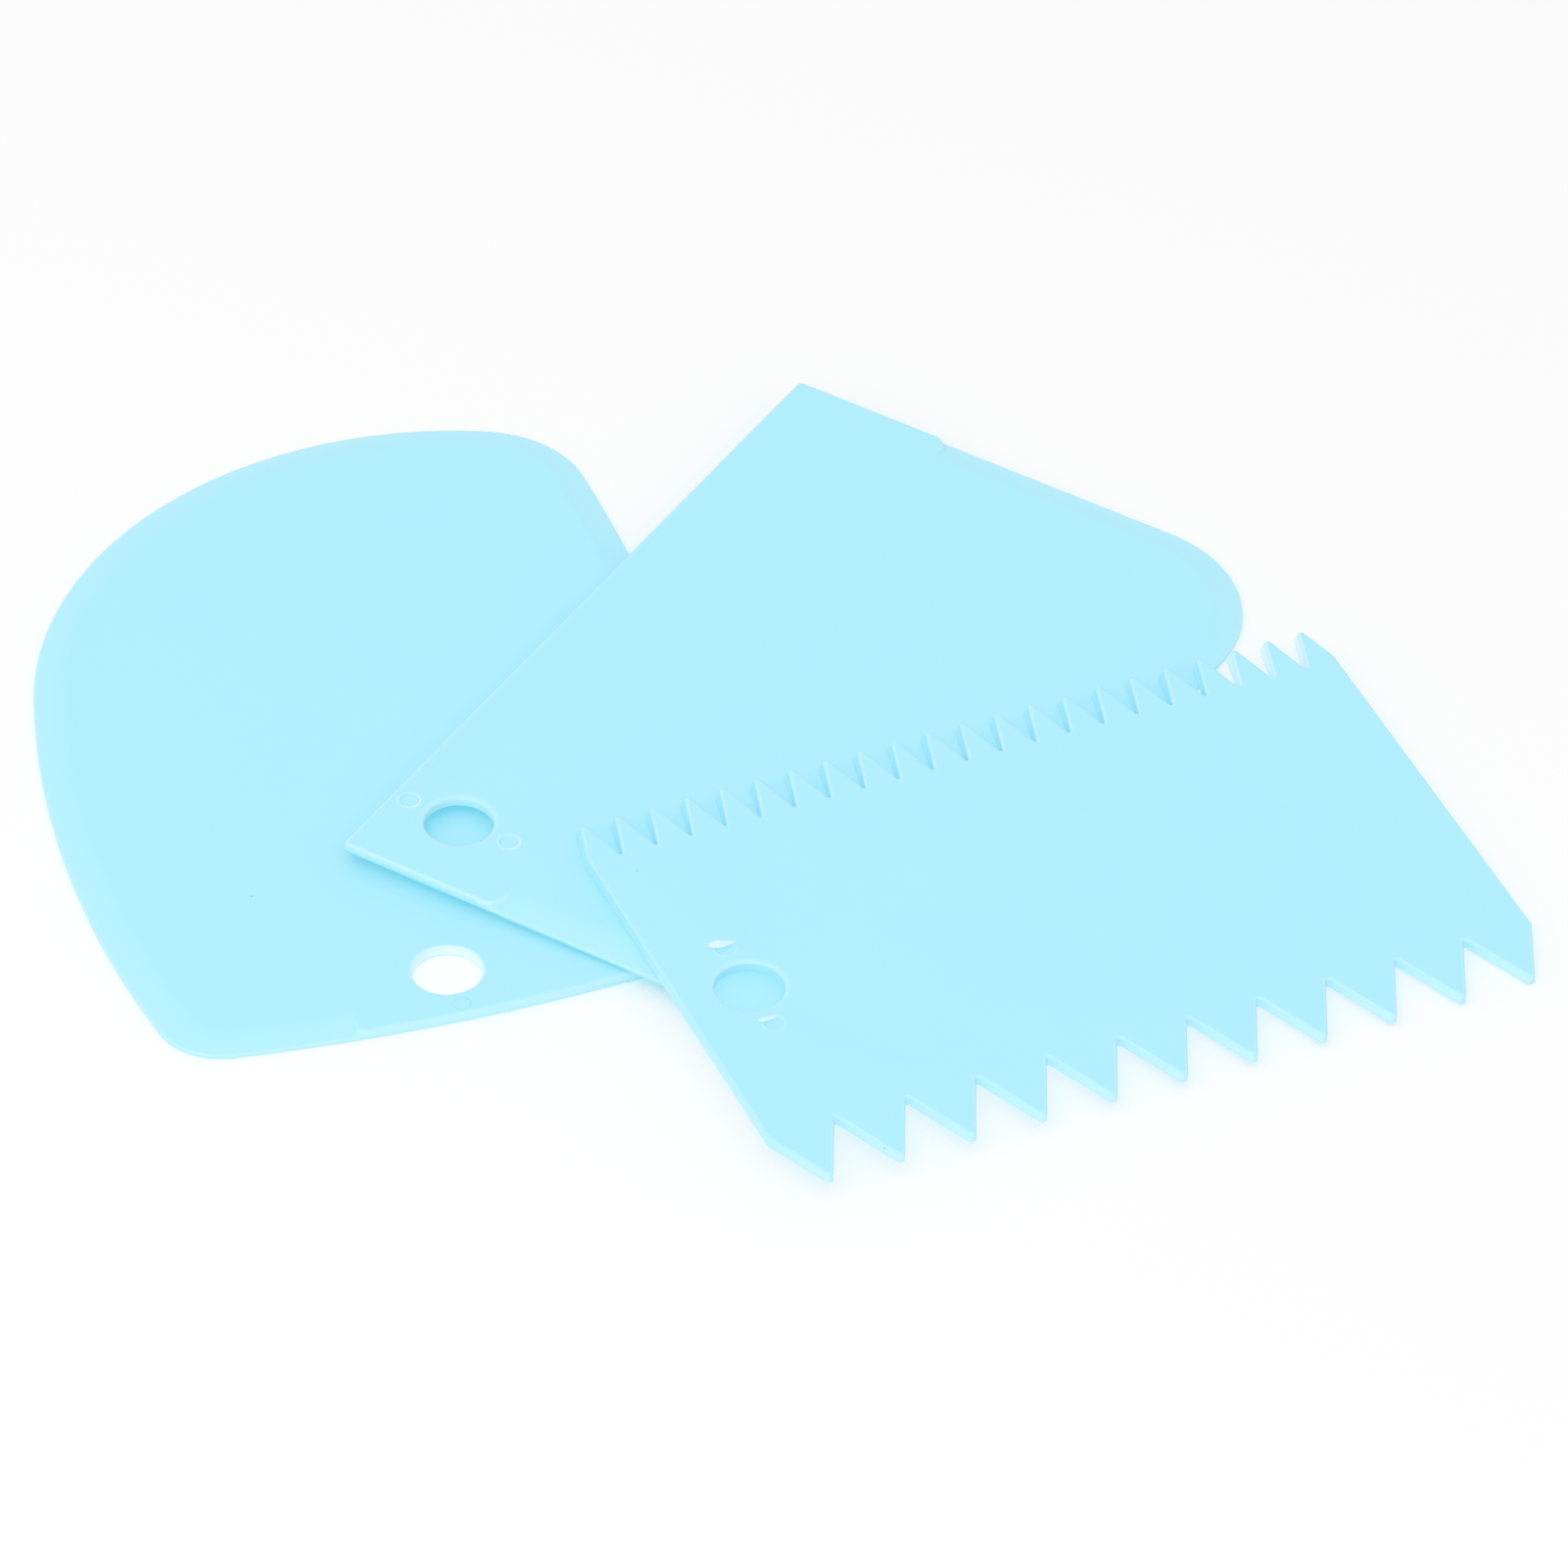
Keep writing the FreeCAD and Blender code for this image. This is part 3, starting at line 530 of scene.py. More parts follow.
@dataclass
class Plate(ABC):
    """One moulded plate: a rim that climbs to its upper face, a hang hole and ejector marks."""

    name: ClassVar[str]
    body: ClassVar[str]
    mount: ClassVar[str]
    hole_at: ClassVar[Point]
    # Where the ejector marks are from the hole's middle.
    mark_offsets: ClassVar[tuple[Point, ...]]
    lip: ClassVar[Lip] = Lip.RING
    flashes: ClassVar[tuple[Flash, ...]] = ()
    # The angles on the rounded upper edge, and the shares of the hole's rounded rim, that have a ring.
    turn_angles: ClassVar[tuple[float, ...]] = (0, 30, 60, 90)
    hole_shares: ClassVar[tuple[float, ...]] = (0, 0.07, 0.25, 0.5, 0.8, 1, 1.2)

    finish: bpy.types.Material
    thickness: float = 1.5
    foot_bevel: float = 0.08
    line_height: float = 0.28
    rim_width: float = 0.4
    rim_drop: float = 0.4
    hole_radius: float = 4.6
    hole_rim: float = 0.5
    hole_drop: float = 0.45
    # How far under the hole's rounded rim its wall's last ring is.
    hole_wall_gap: float = 0.15
    # Tones of painted light and shade: at the wall's foot, on the wall, a painted highlight on the rounded
    # upper edge, on the hang hole's wall, at its upper line, and a painted highlight on its rounded rim.
    foot_tone: float = 0.0
    wall_tone: float = 0.05
    turn_tone: float = 0.18
    hole_tone: float = 0.15
    hole_line_tone: float = -0.1
    hole_turn_tone: float = 0.18
    hole_turn_gain: float = 1.5
    # The strength of a mark's ring of painted highlight and shade, its least share round the mark and what
    # its strongest, lit side adds.
    lip_share: float = 1.0
    lip_least: float = 0.5
    lip_side: float = 0.9
    hole_steps: int = 72
    mark_radius: float = 1.75
    mark_steps: int = 40
    turn_deg: float = 0.0
    # Half the length of the hang hole's straight wall, which is where the record puts its mount.
    mount_height: float = 0.6
    crease_deg: float = 40.0

    @abstractmethod
    def draw(self, shape: BMesh) -> Rim:
        """Draws the plate's outline.

        Args:
            shape: The mesh being built.

        Returns:
            The outline's rim.
        """

    @abstractmethod
    def rings(self) -> list[float]:
        """Lists the insets of the rim's rings, from its wall to the upper face."""

    @abstractmethod
    def surface(self, home: Vector, inset: float) -> Spot:
        """Places a ring of the rim above an outline point."""

    def hole_place(self) -> Vector:
        """Gives the middle of the hang hole."""
        return Vector((*self.hole_at, 0))

    def mark_places(self) -> list[Vector]:
        """Gives the middles of the ejector marks."""
        return [self.hole_place() + Vector((*offset, 0)) for offset in self.mark_offsets]

    def build(self) -> bpy.types.Object:
        """Models the plate, lays it in the frame and dresses it.

        Returns:
            The plate's object, which stands for its node of the frame.
        """
        shape = bmesh.new()
        layers = shape.verts.layers
        for name in ("home", "inward"):
            layers.float_vector.new(name)
        layers.float.new("tone")
        outline = self.draw(shape)
        hole = self.circle(shape, self.hole_place(), self.hole_radius, self.hole_steps)
        for rim in (outline, hole):
            rim.settle(self.foot, self.foot_bevel)
        self.cover(shape, outline.edges + hole.edges)
        for rim in (outline, hole):
            rim.climb(self.foot, 0)
        for inset in self.rings():
            outline.climb(self.surface, inset)
        for height in (self.line_height, self.thickness - self.hole_drop - self.hole_wall_gap):
            hole.climb(self.hole_surface, -height)
        for share in self.hole_shares:
            hole.climb(self.hole_surface, share * self.hole_rim)
        edges = outline.edges + hole.edges
        for place in self.mark_places():
            edges += self.stamp(shape, place)
        self.cover(shape, edges)
        for place, flash in zip(self.mark_places(), self.flashes):
            flash.grow(shape, place + UP * self.thickness)
        bmesh.ops.remove_doubles(shape, verts=shape.verts[:], dist=SAME_POINT)
        bmesh.ops.dissolve_degenerate(shape, dist=SAME_POINT / 2, edges=shape.edges[:])
        bmesh.ops.recalc_face_normals(shape, faces=shape.faces[:])
        for name in ("home", "inward"):
            layers.float_vector.remove(layers.float_vector[name])
        self.shade(shape)
        bmesh.ops.transform(shape, matrix=self.lay(), verts=shape.verts[:])
        return self.finish_piece(shape)

    def foot(self, home: Vector, inset: float) -> Spot:
        """Places the foot of a wall: flat on the ground where it is inset, and just over it elsewhere."""
        return Spot(inset, 0 if inset else self.foot_bevel, self.foot_tone)

    def circle(self, shape: BMesh, place: Vector, radius: float, steps: int) -> Rim:
        """Draws a circle whose inward way is out from its middle.

        Args:
            shape: The mesh being built.
            place: Its middle.
            radius: Its radius.
            steps: How many edges it has.

        Returns:
            Its rim.
        """
        middle = Matrix.Translation(place)
        verts = bmesh.ops.create_circle(shape, segments=steps, radius=radius, matrix=middle)["verts"]
        rim = Rim(shape, list(dict.fromkeys(edge for vertex in verts for edge in vertex.link_edges)))
        for vertex in verts:
            vertex[rim.home] = vertex.co
            vertex[rim.inward] = (vertex.co - place).normalized()
        return rim

    def cover(self, shape: BMesh, edges: list[BMEdge]) -> None:
        """Fills the flat face between closed loops."""
        bmesh.ops.triangle_fill(shape, use_beauty=True, use_dissolve=False, edges=edges, normal=UP)

    def hole_surface(self, home: Vector, inset: float) -> Spot:
        """Rounds the hang hole's upper rim and paints light and shade on its wall and rim.

        Args:
            home: A point of the hole's edge.
            inset: How far the ring stands from it, or if under 0 how high it is on the wall.

        Returns:
            The ring's spot.
        """
        wall = self.thickness - self.hole_drop
        if inset < 0:
            return Spot(0, -inset, self.hole_tone)
        turn = max(1 - inset / self.hole_rim, 0)
        # A painted highlight on the rounded rim, and a painted line where the rim meets the wall.
        pale = self.hole_turn_tone * min(self.hole_turn_gain * turn, 1)
        tone = self.hole_line_tone if inset == 0 else pale
        return Spot(inset, wall + self.hole_drop * math.sqrt(1 - turn ** 2), tone)

    def turn_rings(self) -> list[float]:
        """Lists the insets of the rings on the rounded upper edge."""
        return [self.rim_width * (1 - math.cos(math.radians(angle))) for angle in self.turn_angles]

    def rounded(self, inset: float) -> float:
        """Gives the height of the rounded upper edge at an inset."""
        turn = max(1 - inset / self.rim_width, 0)
        return self.thickness - self.rim_drop * (1 - math.sqrt(1 - turn ** 2))

    def edge_tone(self, home: Vector, inset: float) -> float:
        """Gives the painted light of the rounded upper edge.

        Args:
            home: The outline point.
            inset: How far in from there the tone is asked for.

        Returns:
            The wall's painted tone at its upper end, a painted highlight on the turn and 0 on the upper
            face.
        """
        if inset == 0:
            return self.wall_tone
        return self.turn_tone if inset < self.rim_width else 0

    def stamp(self, shape: BMesh, place: Vector) -> list[BMEdge]:
        """Models an ejector mark: a shallow dish and what is round it.

        Args:
            shape: The mesh being built.
            place: The mark's middle.

        Returns:
            The edges of the ring that joins the upper face.
        """
        rim = self.circle(shape, place + UP * self.thickness, self.mark_radius, self.mark_steps)
        joined = rim.edges
        for inset in self.lip.value:
            rim.climb(self.mark_surface, inset)
        bmesh.ops.edgeloop_fill(shape, edges=rim.edges)
        return joined

    def mark_surface(self, home: Vector, inset: float) -> Spot:
        """Shapes an ejector mark.

        Args:
            home: A point of its ring.
            inset: How far in from the ring it is asked for.

        Returns:
            The spot, with its height over the upper face and its painted light and shade. The ring's painted
            highlight and shade are strongest on one side.
        """
        height, tone = self.lip.value[inset]
        middle = min(self.mark_places(), key=lambda place: (home - place).to_2d().length)
        # The painted light and shade are strongest on the mark's +X side, as if lit from there.
        side = self.lip_least + self.lip_side * max((home - middle).x / self.mark_radius, 0)
        return Spot(-inset, height, self.lip_share * side * tone)

    def shade(self, shape: BMesh) -> None:
        """Shades the plate smooth between its creases."""
        for face in shape.faces:
            face.smooth = True
        for edge in shape.edges:
            edge.smooth = edge.calc_face_angle(0) < math.radians(self.crease_deg)

    def lay(self) -> Matrix:
        """Works out where the plate lies.

        Returns:
            The matrix from the plate's own millimetres to the frame.
        """
        mount = next(item for item in frame["record"]["mounts"] if item["name"] == self.mount)
        turn = Matrix.Rotation(math.radians(self.turn_deg), 4, "Z")
        lean = UP.rotation_difference(Vector(mount["axis"])).to_matrix().to_4x4() @ turn
        middle = self.hole_place() + UP * self.mount_height
        return (Matrix.Translation(mount["pos_m"]) @ lean @ Matrix.Scale(MILLIMETRE, 4)
                @ Matrix.Translation(-middle))

    def finish_piece(self, shape: BMesh) -> bpy.types.Object:
        """Turns the mesh into a piece that rides on the plate's body.

        Args:
            shape: The finished mesh, in the frame. It is freed.

        Returns:
            The piece.
        """
        piece = put_mesh(self.name, shape, self.finish)
        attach(piece, self.body)
        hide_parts(self.name.removesuffix("_moulding"))
        return piece


@dataclass
class BevelledPlate(Plate):
    """A plate with a thin bevelled edge, except where its handle keeps the full thickness."""

    edge_thickness: float = 0.6
    bevel_width: float = 4.2
    end_radius: float = 1.0
    end_softness: float = 0.8
    # Painted light: a highlight along the line round the handle's end, light on the lower wall, and light
    # painted through the bevel where it thins and at its thin edge.
    end_tone: float = 0.12
    end_line_width: float = 0.75
    low_tone: float = 0.15
    slope_tone: float = 0.08
    thin_tone: float = 0.0
    thin_width: float = 0.3
    edge_ease: float = 0.08
    edge_ease_width: float = 0.2
    crest_softness: float = 0.05
    # How far inside the handle's rounded edge the rings gather, over what length, and how far they spread.
    gather_gap: float = 0.04
    gather_length: float = 0.7
    gather_spread: float = 5.0
    # How far into the handle each outline point round its end stands.
    end_depths: ClassVar[tuple[float, ...]] = (
        -0.4, -0.2, 0.0, 0.2, 0.4, 0.6, 0.9, 1.2, 1.5, 1.8, 2.1, 2.4, 2.7, 3.0, 3.4, 4.1)
    # The insets of the rings on the bevel.
    bevel_rings: ClassVar[tuple[float, ...]] = (
        0.55, 0.75, 1.0, 1.25, 1.5, 1.75, 2.0, 2.3, 2.8, 3.3, 3.8, 4.1, 4.4, 4.7)

    @abstractmethod
    def handle_depth(self, home: Vector) -> float:
        """Gives how far inside the handle's end an outline point stands, under 0 outside."""

    def rings(self) -> list[float]:
        """Lists the insets of the rim's rings, from its wall to the upper face."""
        return [-self.line_height, *self.turn_rings(), *self.bevel_rings]

    def surface(self, home: Vector, inset: float) -> Spot:
        """Places a ring of the rim above an outline point.

        Args:
            home: The outline point.
            inset: How far in the ring stands where the edge is bevelled, or if under 0 how high on the wall.

        Returns:
            The ring's spot, with its painted light. Along the handle the rings gather at its rounded edge.
        """
        if inset < 0:
            return Spot(0, -inset, self.low_tone)
        depth = self.handle_depth(home)
        spread = min(max((self.end_depths[-1] - depth) / self.gather_length, 0), 1)
        inset = min(inset, self.rim_width + self.gather_gap + self.gather_spread * spread)
        step = self.thickness - self.edge_thickness
        slope = self.edge_thickness + inset * step / self.bevel_width
        bulge = self.end_radius * (1 - math.sqrt(1 - max(1 - inset / self.end_radius, 0) ** 2))
        rise = (depth - bulge) / self.end_softness + 0.5
        share = min(max(rise, 0), 1)
        share *= share * (3 - 2 * share)
        height = self.soft_least(slope + (self.thickness - slope) * share, self.thickness)
        height -= self.edge_ease * max(1 - inset / self.edge_ease_width, 0) ** 2
        height = min(height, self.rounded(inset))
        # Paints light through the bevel where it thins and at its thin edge, and a highlight along the
        # handle's end line and on the rounded edge.
        tone = self.slope_tone * min((self.thickness - height) / step, 1)
        tone += self.thin_tone * max(1 - inset / self.thin_width, 0)
        line = max(1 - abs(rise - 1) / self.end_line_width, 0) * max(self.thickness - slope, 0) / step
        tone += self.end_line_tone(home) * line + share ** 2 * self.edge_tone(home, inset)
        return Spot(inset, height, tone)

    def end_line_tone(self, home: Vector) -> float:
        """Gives the painted highlight on the line round the handle's end, above an outline point."""
        return self.end_tone

    def soft_least(self, first: float, second: float) -> float:
        """Takes the smaller of two heights, with a soft turn where they meet."""
        near = max(self.crest_softness - abs(first - second), 0) / self.crest_softness
        return min(first, second) - near ** 2 * self.crest_softness / 4


@dataclass
class BowlScraper(BevelledPlate):
    """The lowest plate: a lopsided round of seven arcs, drawn from its hang hole."""

    name: ClassVar[str] = "bowl_scraper_moulding"
    body: ClassVar[str] = "bowl"
    mount: ClassVar[str] = "bowl_hang_hole"
    hole_at: ClassVar[Point] = (0.0, 0.0)
    mark_offsets: ClassVar[tuple[Point, ...]] = ((0.0, -7.0),)
    lip: ClassVar[Lip] = Lip.NONE

    turn_deg: float = -6.7
    mark_radius: float = 1.34
    rim_drop: float = 0.75
    # Painted light: on the wall's foot and wall, a highlight on the rounded edge, light through the thin
    # edge, and the hang hole's wall and rim painted nearly white as if brightly lit.
    foot_tone: float = 0.15
    wall_tone: float = 0.04
    turn_tone: float = 0.08
    thin_tone: float = 0.15
    hole_tone: float = 0.9
    hole_line_tone: float = 0.9
    hole_turn_tone: float = 0.6
    hole_to_edge: float = 8.8
    bottom_radius: float = 241.4
    corner_radius: float = 9.2
    left_radius: float = 161.0
    left_reach: float = 42.0
    left_height: float = 33.0
    top_radius: float = 54.8
    top_height: float = 112.3
    shoulder_radius: float = 16.0
    right_radius: float = 273.0
    right_reach: float = 47.6
    right_height: float = 69.4
    handle_left: float = 14.5
    handle_right: float = 29.0
    # The widest step along the bottom edge, and the widest and longest elsewhere.
    bottom_step_deg: float = 0.8
    step_deg: float = 3.5
    step_length: float = 4.0

    def circles(self) -> list[Circle]:
        """Works out the outline's seven circles, anticlockwise from the bottom edge."""
        left_x, right_x = self.left_radius - self.left_reach, self.right_reach - self.right_radius
        bottom = Circle(Vector((0, self.bottom_radius - self.hole_to_edge, 0)), self.bottom_radius)
        left = Circle(Vector((left_x, self.left_height, 0)), self.left_radius)
        right = Circle(Vector((right_x, self.right_height, 0)), self.right_radius)
        top_y = self.top_height - self.top_radius
        run = math.sqrt((self.left_radius - self.top_radius) ** 2 - (top_y - self.left_height) ** 2)
        top = Circle(Vector((left.centre.x - run, top_y, 0)), self.top_radius)
        low = -self.hole_to_edge
        return [bottom,
                bottom.nestle(right, self.corner_radius, Vector((self.right_reach, low, 0))),
                right,
                top.nestle(right, self.shoulder_radius, Vector((self.right_reach, self.top_height, 0))),
                top,
                left,
                bottom.nestle(left, self.corner_radius, Vector((-self.left_reach, low, 0)))]

    def draw(self, shape: BMesh) -> Rim:
        """Draws the seven arcs, from the left end of the bottom edge."""
        circles = self.circles()
        bottom, corner_right, right, shoulder, top, left, corner_left = circles
        joints = [bottom.meets(corner_right), right.meets(corner_right), right.meets(shoulder),
                  top.meets(shoulder), left.meets(top), left.meets(corner_left), bottom.meets(corner_left)]
        stops = [joints[-1].x, *[depth - self.handle_left for depth in self.end_depths],
                 *[self.handle_right - depth for depth in reversed(self.end_depths)], joints[0].x]
        angles = [math.degrees(math.asin(stop / self.bottom_radius)) for stop in stops]
        pen = Pen(shape, joints[-1], angles[0])
        for first, second in zip(angles, angles[1:]):
            steps = max(math.ceil((second - first) / self.bottom_step_deg), 1)
            pen.arc(self.bottom_radius, second - first, steps)
        for number, circle in enumerate(circles[1:]):
            turn = circle.sweep(joints[number], joints[number + 1])
            length = circle.radius * math.radians(turn)
            pen.arc(circle.radius, turn, math.ceil(max(turn / self.step_deg, length / self.step_length)))
        return pen.close()

    def handle_depth(self, home: Vector) -> float:
        """Gives how far inside the handle's end an outline point stands, under 0 outside."""
        inside = min(self.handle_left + home.x, self.handle_right - home.x)
        return inside if home.y < 0 else -self.handle_left


@dataclass
class StraightScraper(BevelledPlate):
    """The middle plate: a rectangle with two round corners, drawn from the corner beside its hole."""

    name: ClassVar[str] = "straight_scraper_moulding"
    body: ClassVar[str] = "straight"
    mount: ClassVar[str] = "straight_hang_hole"
    hole_at: ClassVar[Point] = (10.5, 11.9)
    mark_offsets: ClassVar[tuple[Point, ...]] = ((-7.8, 0.0), (7.8, 0.0))

    turn_deg: float = -55.2
    # Painted light on the wall and in the hang hole, and light painted through the thin edge.
    wall_tone: float = 0.2
    hole_rim: float = 0.9
    hole_tone: float = 0.45
    hole_line_tone: float = 0.35
    thin_tone: float = 0.15
    foot_bevel: float = 0.14
    line_height: float = 0.34
    length: float = 116.0
    width: float = 78.3
    round_radius: float = 19.0
    corner_radius: float = 0.7
    handle_width: float = 24.3
    end_radius: float = 2.6
    # A painted highlight on the line round the handle's end beside the hole, and painted shade along the
    # wall's foot, darkest along the handle.
    near_end_tone: float = 0.45
    foot_tone: float = -0.35
    handle_foot_tone: float = -1.0
    round_steps: int = 30
    corner_steps: int = 8

    def draw(self, shape: BMesh) -> Rim:
        """Draws one side, the two round corners, the other side and the edge of the handle."""
        stops = [self.corner_radius, *[self.handle_width - depth for depth in reversed(self.end_depths)],
                 self.width - self.round_radius]
        steps = [second - first for first, second in zip(stops, stops[1:])]
        pen = Pen(shape, Vector((self.corner_radius, 0, 0)), 0)
        for side, radius, edges in ((steps, self.round_radius, self.round_steps),
                                    (reversed(steps), self.corner_radius, self.corner_steps)):
            for step in side:
                pen.run(step)
            pen.arc(radius, 90, edges)
            pen.run(self.length - 2 * radius)
            pen.arc(radius, 90, edges)
        return pen.close()

    def handle_depth(self, home: Vector) -> float:
        """Gives how far inside the handle's end an outline point stands, under 0 outside."""
        return self.handle_width - home.x

    def foot(self, home: Vector, inset: float) -> Spot:
        """Places the foot of a wall, whose painted shade is darkest along the handle."""
        spot = super().foot(home, inset)
        return replace(spot, tone=self.handle_foot_tone) if self.handle_depth(home) > 0 else spot

    def edge_tone(self, home: Vector, inset: float) -> float:
        """Gives the painted highlight of the rounded upper edge, which is on the side beside the hole alone.
        """
        return super().edge_tone(home, inset) if home.y < self.corner_radius else 0

    def end_line_tone(self, home: Vector) -> float:
        """Gives the painted highlight on the line round the handle's end, which is paler on the side beside
        the hole.
        """
        return self.near_end_tone if home.y < self.corner_radius else self.end_tone


@dataclass(frozen=True)
class Row:
    """The sizes of one of the comb's two rows of teeth."""

    pitch: float
    depth: float
    count: int
    root_radius: float

    def lean(self) -> float:
        """Gives the angle between the flanks and the teeth's own middle line."""
        return math.atan(self.pitch / 2 / self.depth)


class Flank(Enum):
    """A small tooth's flank: the tones of painted light and shade on its wall and its upper line, and its
    turn's share of the usual painted highlight.
    """

    LEFT = (0.1, -0.25, 1.0)
    RIGHT = (0.0, 0.0, 0.2)
    PALE = (0.9, 0.8, 2.0)


@dataclass
class CombScraper(Plate):
    """The top plate: a comb with big teeth on one side and small ones on the other.

    The last small teeth stand over the white ground, whose light makes their flanks pale.
    """

    name: ClassVar[str] = "comb_scraper_moulding"
    body: ClassVar[str] = "comb"
    mount: ClassVar[str] = "comb_hang_hole"
    hole_at: ClassVar[Point] = (10.0, 26.9)
    mark_offsets: ClassVar[tuple[Point, ...]] = ((0.0, -7.9), (0.0, 7.9))
    flashes: ClassVar[tuple[Flash, ...]] = (
        Flash((-0.35, 1.0), 2.9, 0.9, -4.0), Flash((-0.05, 0.85), 3.9, 1.7, -9.0))
    big: ClassVar[Row] = Row(pitch=10.0, depth=11.0, count=11, root_radius=0.3)
    small: ClassVar[Row] = Row(pitch=5.0, depth=9.5, count=22, root_radius=0.15)
    # How far under the rounded upper edge the rings on the wall are.
    wall_rings: ClassVar[tuple[float, ...]] = (-0.85, -0.15)

    rim_width: float = 0.36
    rim_drop: float = 0.36
    # The wall is painted pale, as if lit.
    wall_tone: float = 0.3
    hole_rim: float = 0.85
    lip_share: float = 0.3
    web_height: float = 56.9
    tip_radius: float = 0.64
    # How far the foot of a small tooth's wall stands out, and how that grows from its root.
    small_draft: float = 0.42
    draft_start: float = 0.24
    draft_growth: float = 1.5
    draft_run: float = 0.4
    lean_share: float = 1.4
    # Along the row, where the flanks turn pale with painted light from the white ground, and their feet's
    # tones for each millimetre of draft: painted shade, or painted light where pale.
    pale_from: float = 94.9
    deep_foot: float = -0.8
    pale_foot: float = 2.0
    side_share: float = 0.5
    face_gap: float = 0.06
    tip_steps: int = 9
    root_steps: int = 6
    corner_steps: int = 3
    side_inset: float = 0.35
    corner_radius: float = 0.6

    def side_end(self, row: Row) -> float:
        """Gives how far past a row's root line the plate's side runs before its rounded corner."""
        lean = row.lean()
        return self.side_inset / math.tan(lean) - self.corner_radius * math.tan(lean / 2)

    def draw_row(self, pen: Pen, row: Row) -> None:
        """Draws a row of teeth, from the corner at one side to the corner at the other.

        Args:
            pen: The pen, at the end of the side before the row.
            row: The row's sizes.
        """
        lean = row.lean()
        turn = math.degrees(lean)
        slant = math.hypot(row.pitch / 2, row.depth) - self.tip_radius / math.tan(lean)
        inner = slant - row.root_radius / math.tan(lean)
        outer = slant - self.side_inset / math.sin(lean) - self.corner_radius * math.tan(lean / 2)
        pen.arc(self.corner_radius, turn, self.corner_steps)
        for number in range(row.count):
            pen.run(outer if number == 0 else inner)
            pen.arc(self.tip_radius, 180 - 2 * turn, self.tip_steps)
            pen.run(outer if number == row.count - 1 else inner)
            if number < row.count - 1:
                pen.arc(row.root_radius, 2 * turn - 180, self.root_steps)
        pen.arc(self.corner_radius, turn, self.corner_steps)

    def draw(self, shape: BMesh) -> Rim:
        """Draws one side, the big teeth, the other side and the small teeth."""
        side = self.web_height + self.side_end(self.big) + self.side_end(self.small)
        pen = Pen(shape, Vector((self.side_inset, self.web_height + self.side_end(self.small), 0)), -90)
        for row in (self.big, self.small):
            pen.run(side)
            self.draw_row(pen, row)
        return pen.close()

    def rings(self) -> list[float]:
        """Lists the insets of the rim's rings, from its wall to the upper face."""
        return [*self.wall_rings, *self.turn_rings(), self.rim_width + self.face_gap]

    def surface(self, home: Vector, inset: float) -> Spot:
        """Places a ring of the rim above an outline point.

        Args:
            home: The outline point.
            inset: How far in the ring stands, or how far it is under the rim if under 0.

        Returns:
            The ring's spot. The walls of the small teeth lean in.
        """
        height = self.rounded(max(inset, 0)) + min(inset, 0)
        lean = self.spread(home) * (self.lean_share * height / self.thickness - 1)
        tone = self.edge_tone(home, max(inset, 0))
        # A small tooth's flank gets its painted light and shade: shaded on the left flanks, paler on the
        # last ones.
        if home.y > self.web_height:
            wall, line, share = self.flank(home).value
            tone = share * tone if inset > 0 else line if inset == 0 else wall
        return Spot(max(inset, 0) + lean, height, tone)

    def flank(self, home: Vector) -> Flank:
        """Tells which flank of a small tooth an outline point is on.

        Args:
            home: The outline point.

        Returns:
            The flank. The last left ones are pale.
        """
        if home.x / self.small.pitch % 1 >= 0.5:
            return Flank.RIGHT
        return Flank.PALE if home.x > self.pale_from else Flank.LEFT

    def edge_tone(self, home: Vector, inset: float) -> float:
        """Gives the painted highlight of the rounded upper edge, which is fainter along the side beside the
        hole.
        """
        return super().edge_tone(home, inset) * (self.side_share if home.x < self.corner_radius else 1)

    def foot(self, home: Vector, inset: float) -> Spot:
        """Places the foot of a wall.

        Args:
            home: The outline point.
            inset: How far in it stands, or 0 just over the ground.

        Returns:
            The foot's spot, which stands out along the small teeth and is painted with shade there, or with
            light where the flanks are pale.
        """
        spread = self.spread(home)
        tone = (self.pale_foot if home.x > self.pale_from else self.deep_foot) * spread
        return Spot(inset - spread, 0 if inset else self.foot_bevel, tone)

    def spread(self, home: Vector) -> float:
        """Gives how far the foot of the wall stands out at an outline point."""
        past = max(home.y - self.web_height, 0)
        growth = min(self.draft_start + self.draft_growth * past / self.small.depth, 1)
        return self.small_draft * min(past / self.draft_run, 1) * growth


@dataclass(frozen=True)
class Lamp:
    """A square soft lamp that looks at the middle of the table."""

    name: str
    place: tuple[float, float, float]
    size: float
    power: float

    def hang(self) -> None:
        """Hangs the lamp in the scene."""
        light = bpy.data.lights.new(self.name, "AREA")
        light.shape = "SQUARE"
        light.size = self.size
        light.energy = self.power
        put_in_scene(self.name, light).matrix_world = looking(Vector(self.place), Vector())


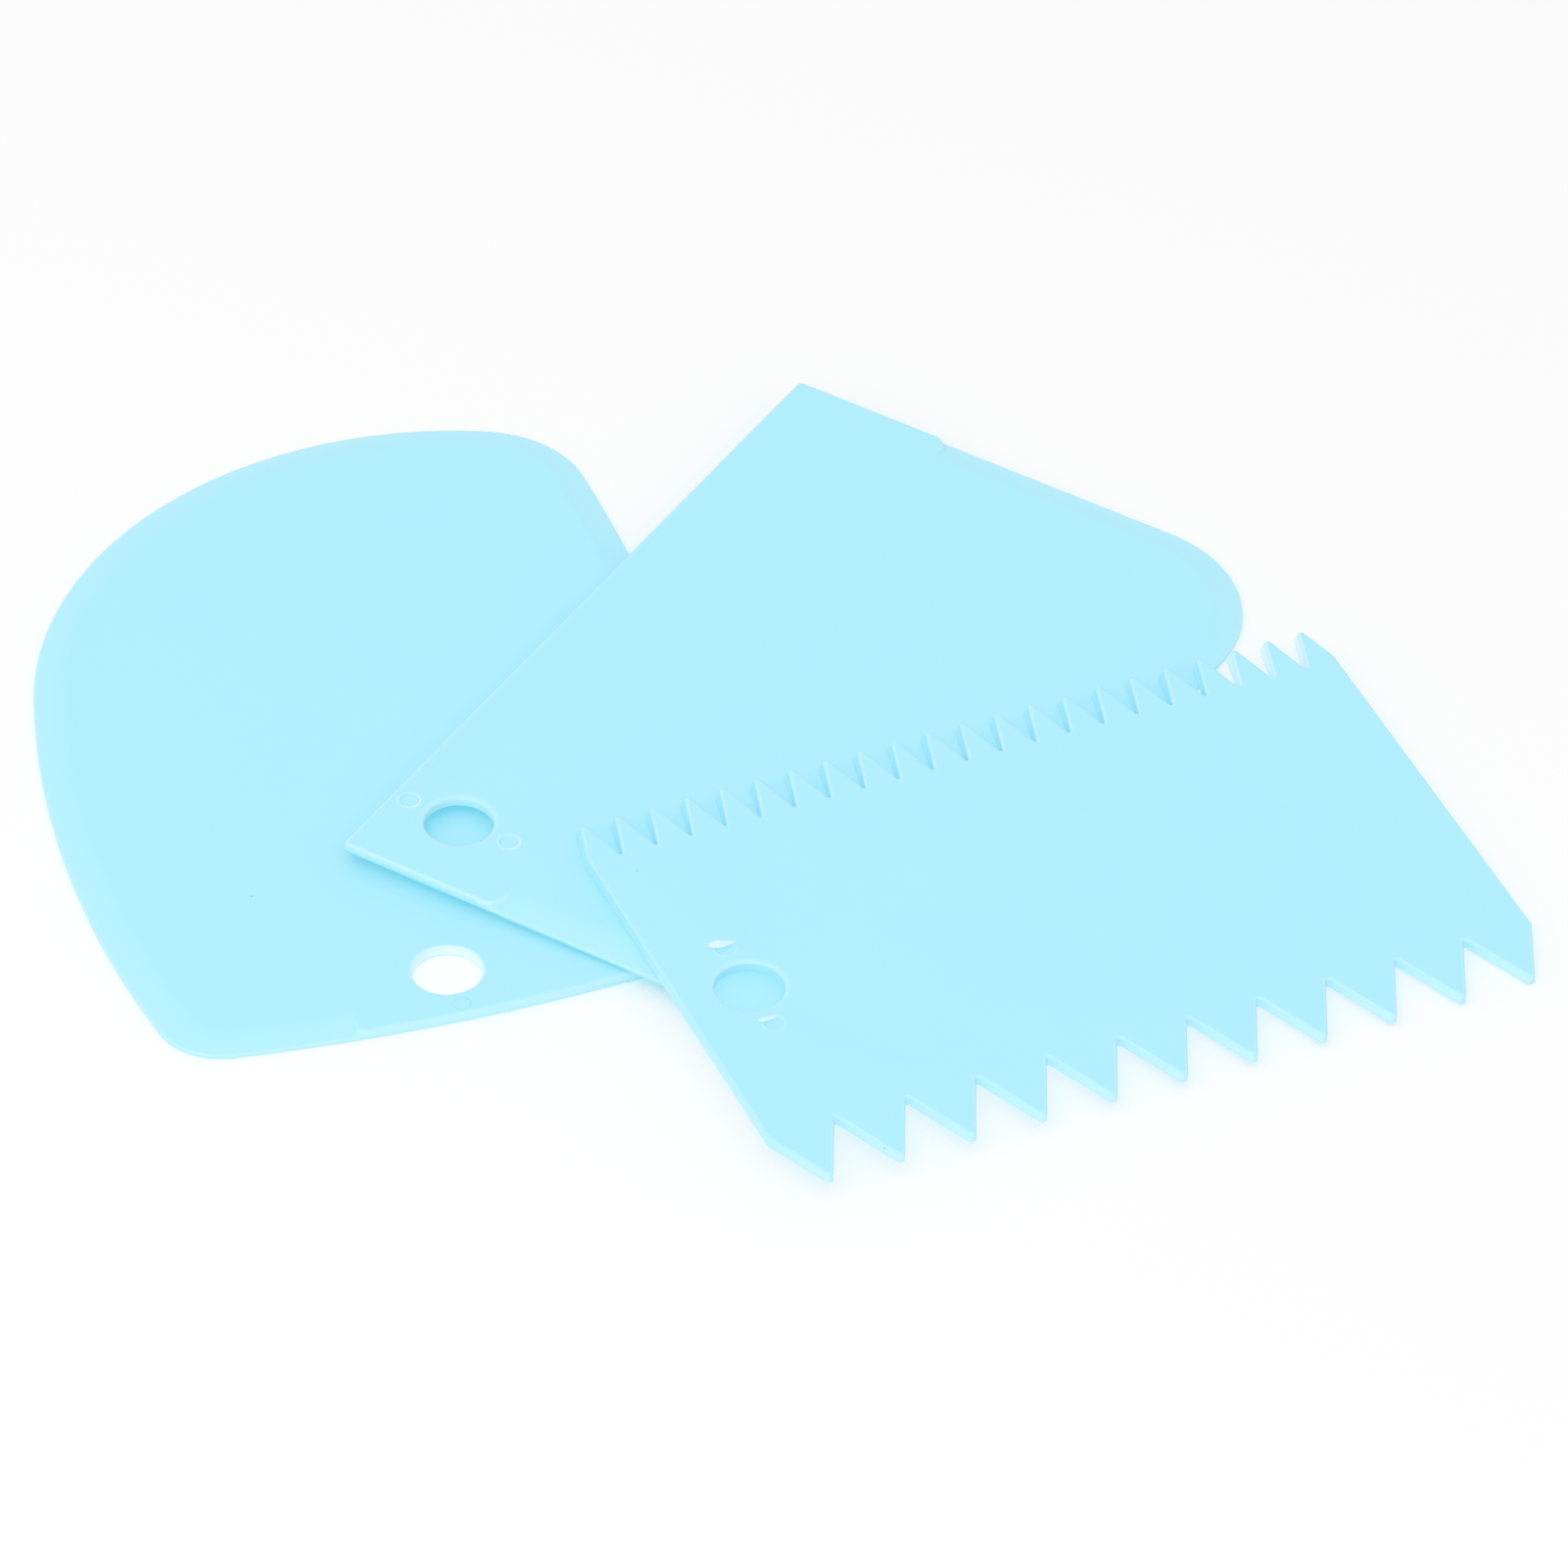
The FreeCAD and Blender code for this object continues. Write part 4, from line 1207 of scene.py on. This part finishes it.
@dataclass
class Studio:
    """The white ground, the even light and the camera."""

    ground: bpy.types.Material
    ground_half: float = 2.0
    ground_height: float = -0.00005
    world_strength: float = 0.82
    lamp: Lamp = Lamp("soft_lamp", (-0.89, -0.67, 1.42), 1.3, 8.3)
    eye: tuple[float, float, float] = (-0.4595989, -1.0741338, 0.9817)
    target: tuple[float, float, float] = (0.0089411, -0.0075738, 0.0)
    roll_deg: float = -0.328
    lens: float = 263.13
    sensor: float = 36.0
    far_end: float = 10.0

    def build(self) -> None:
        """Sets up the ground, the light, the camera and the plain view."""
        self.lay_ground()
        self.light()
        self.aim()
        bpy.context.scene.view_settings.view_transform = "Standard"

    def lay_ground(self) -> None:
        """Lays the white ground just under the lowest plate."""
        shape = bmesh.new()
        bmesh.ops.create_grid(shape, x_segments=1, y_segments=1, size=self.ground_half,
                              matrix=Matrix.Translation((0, 0, self.ground_height)))
        ground = put_mesh("ground", shape, self.ground)

    def light(self) -> None:
        """Sets an even white world and hangs the soft lamp."""
        world = bpy.data.worlds.new("white_room")
        bench = Bench(world)
        share = bench.add("ShaderNodeLightPath", {}, {}, "Is Camera Ray")
        for ray in ("Is Glossy Ray", "Is Transmission Ray"):
            share = bench.math("MAXIMUM", share, bench.add("ShaderNodeLightPath", {}, {}, ray))
        strength = self.world_strength + (1 - self.world_strength) * share
        surface = bench.add("ShaderNodeBackground", {}, {"Color": (1, 1, 1, 1), "Strength": strength})
        bench.add("ShaderNodeOutputWorld", {}, {"Surface": surface})
        bpy.context.scene.world = world
        self.lamp.hang()

    def aim(self) -> None:
        """Sets the camera where the picture was taken from."""
        lens = bpy.data.cameras.new("camera")
        lens.lens = self.lens
        lens.sensor_width = self.sensor
        lens.clip_end = self.far_end
        camera = put_in_scene("camera", lens)
        roll = Matrix.Rotation(math.radians(self.roll_deg), 4, "Z")
        camera.matrix_world = looking(Vector(self.eye), Vector(self.target)) @ roll
        bpy.context.scene.camera = camera


def main() -> None:
    """Builds the studio and the three plates, and logs each plate's face count."""
    logging.basicConfig(level=logging.INFO, format="%(message)s")
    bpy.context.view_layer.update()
    plastic = MouldedPlastic("pale_blue_plastic", body=(0.42, 0.855, 1.0), cloudy=(0.44, 0.865, 1.0),
                             painted_light=(0.85, 0.99, 1.0), painted_shade=(0.2, 0.7, 0.85), speck=(0.2, 0.5, 0.6),
                             passing=(0.58, 0.88, 0.92))
    clearer = replace(plastic, name="pale_blue_plastic_clearer", passing=(0.88, 0.96, 0.985)).make()
    Studio(PaperGround("white_paper", (0.995, 0.995, 0.995)).make()).build()
    for plate in (BowlScraper(clearer), StraightScraper(plastic.make()), CombScraper(clearer)):
        piece = plate.build()
        LOG.info("%s: %d faces on %s", piece.name, len(piece.data.polygons), plate.body)


if __name__ == "__main__":
    main()
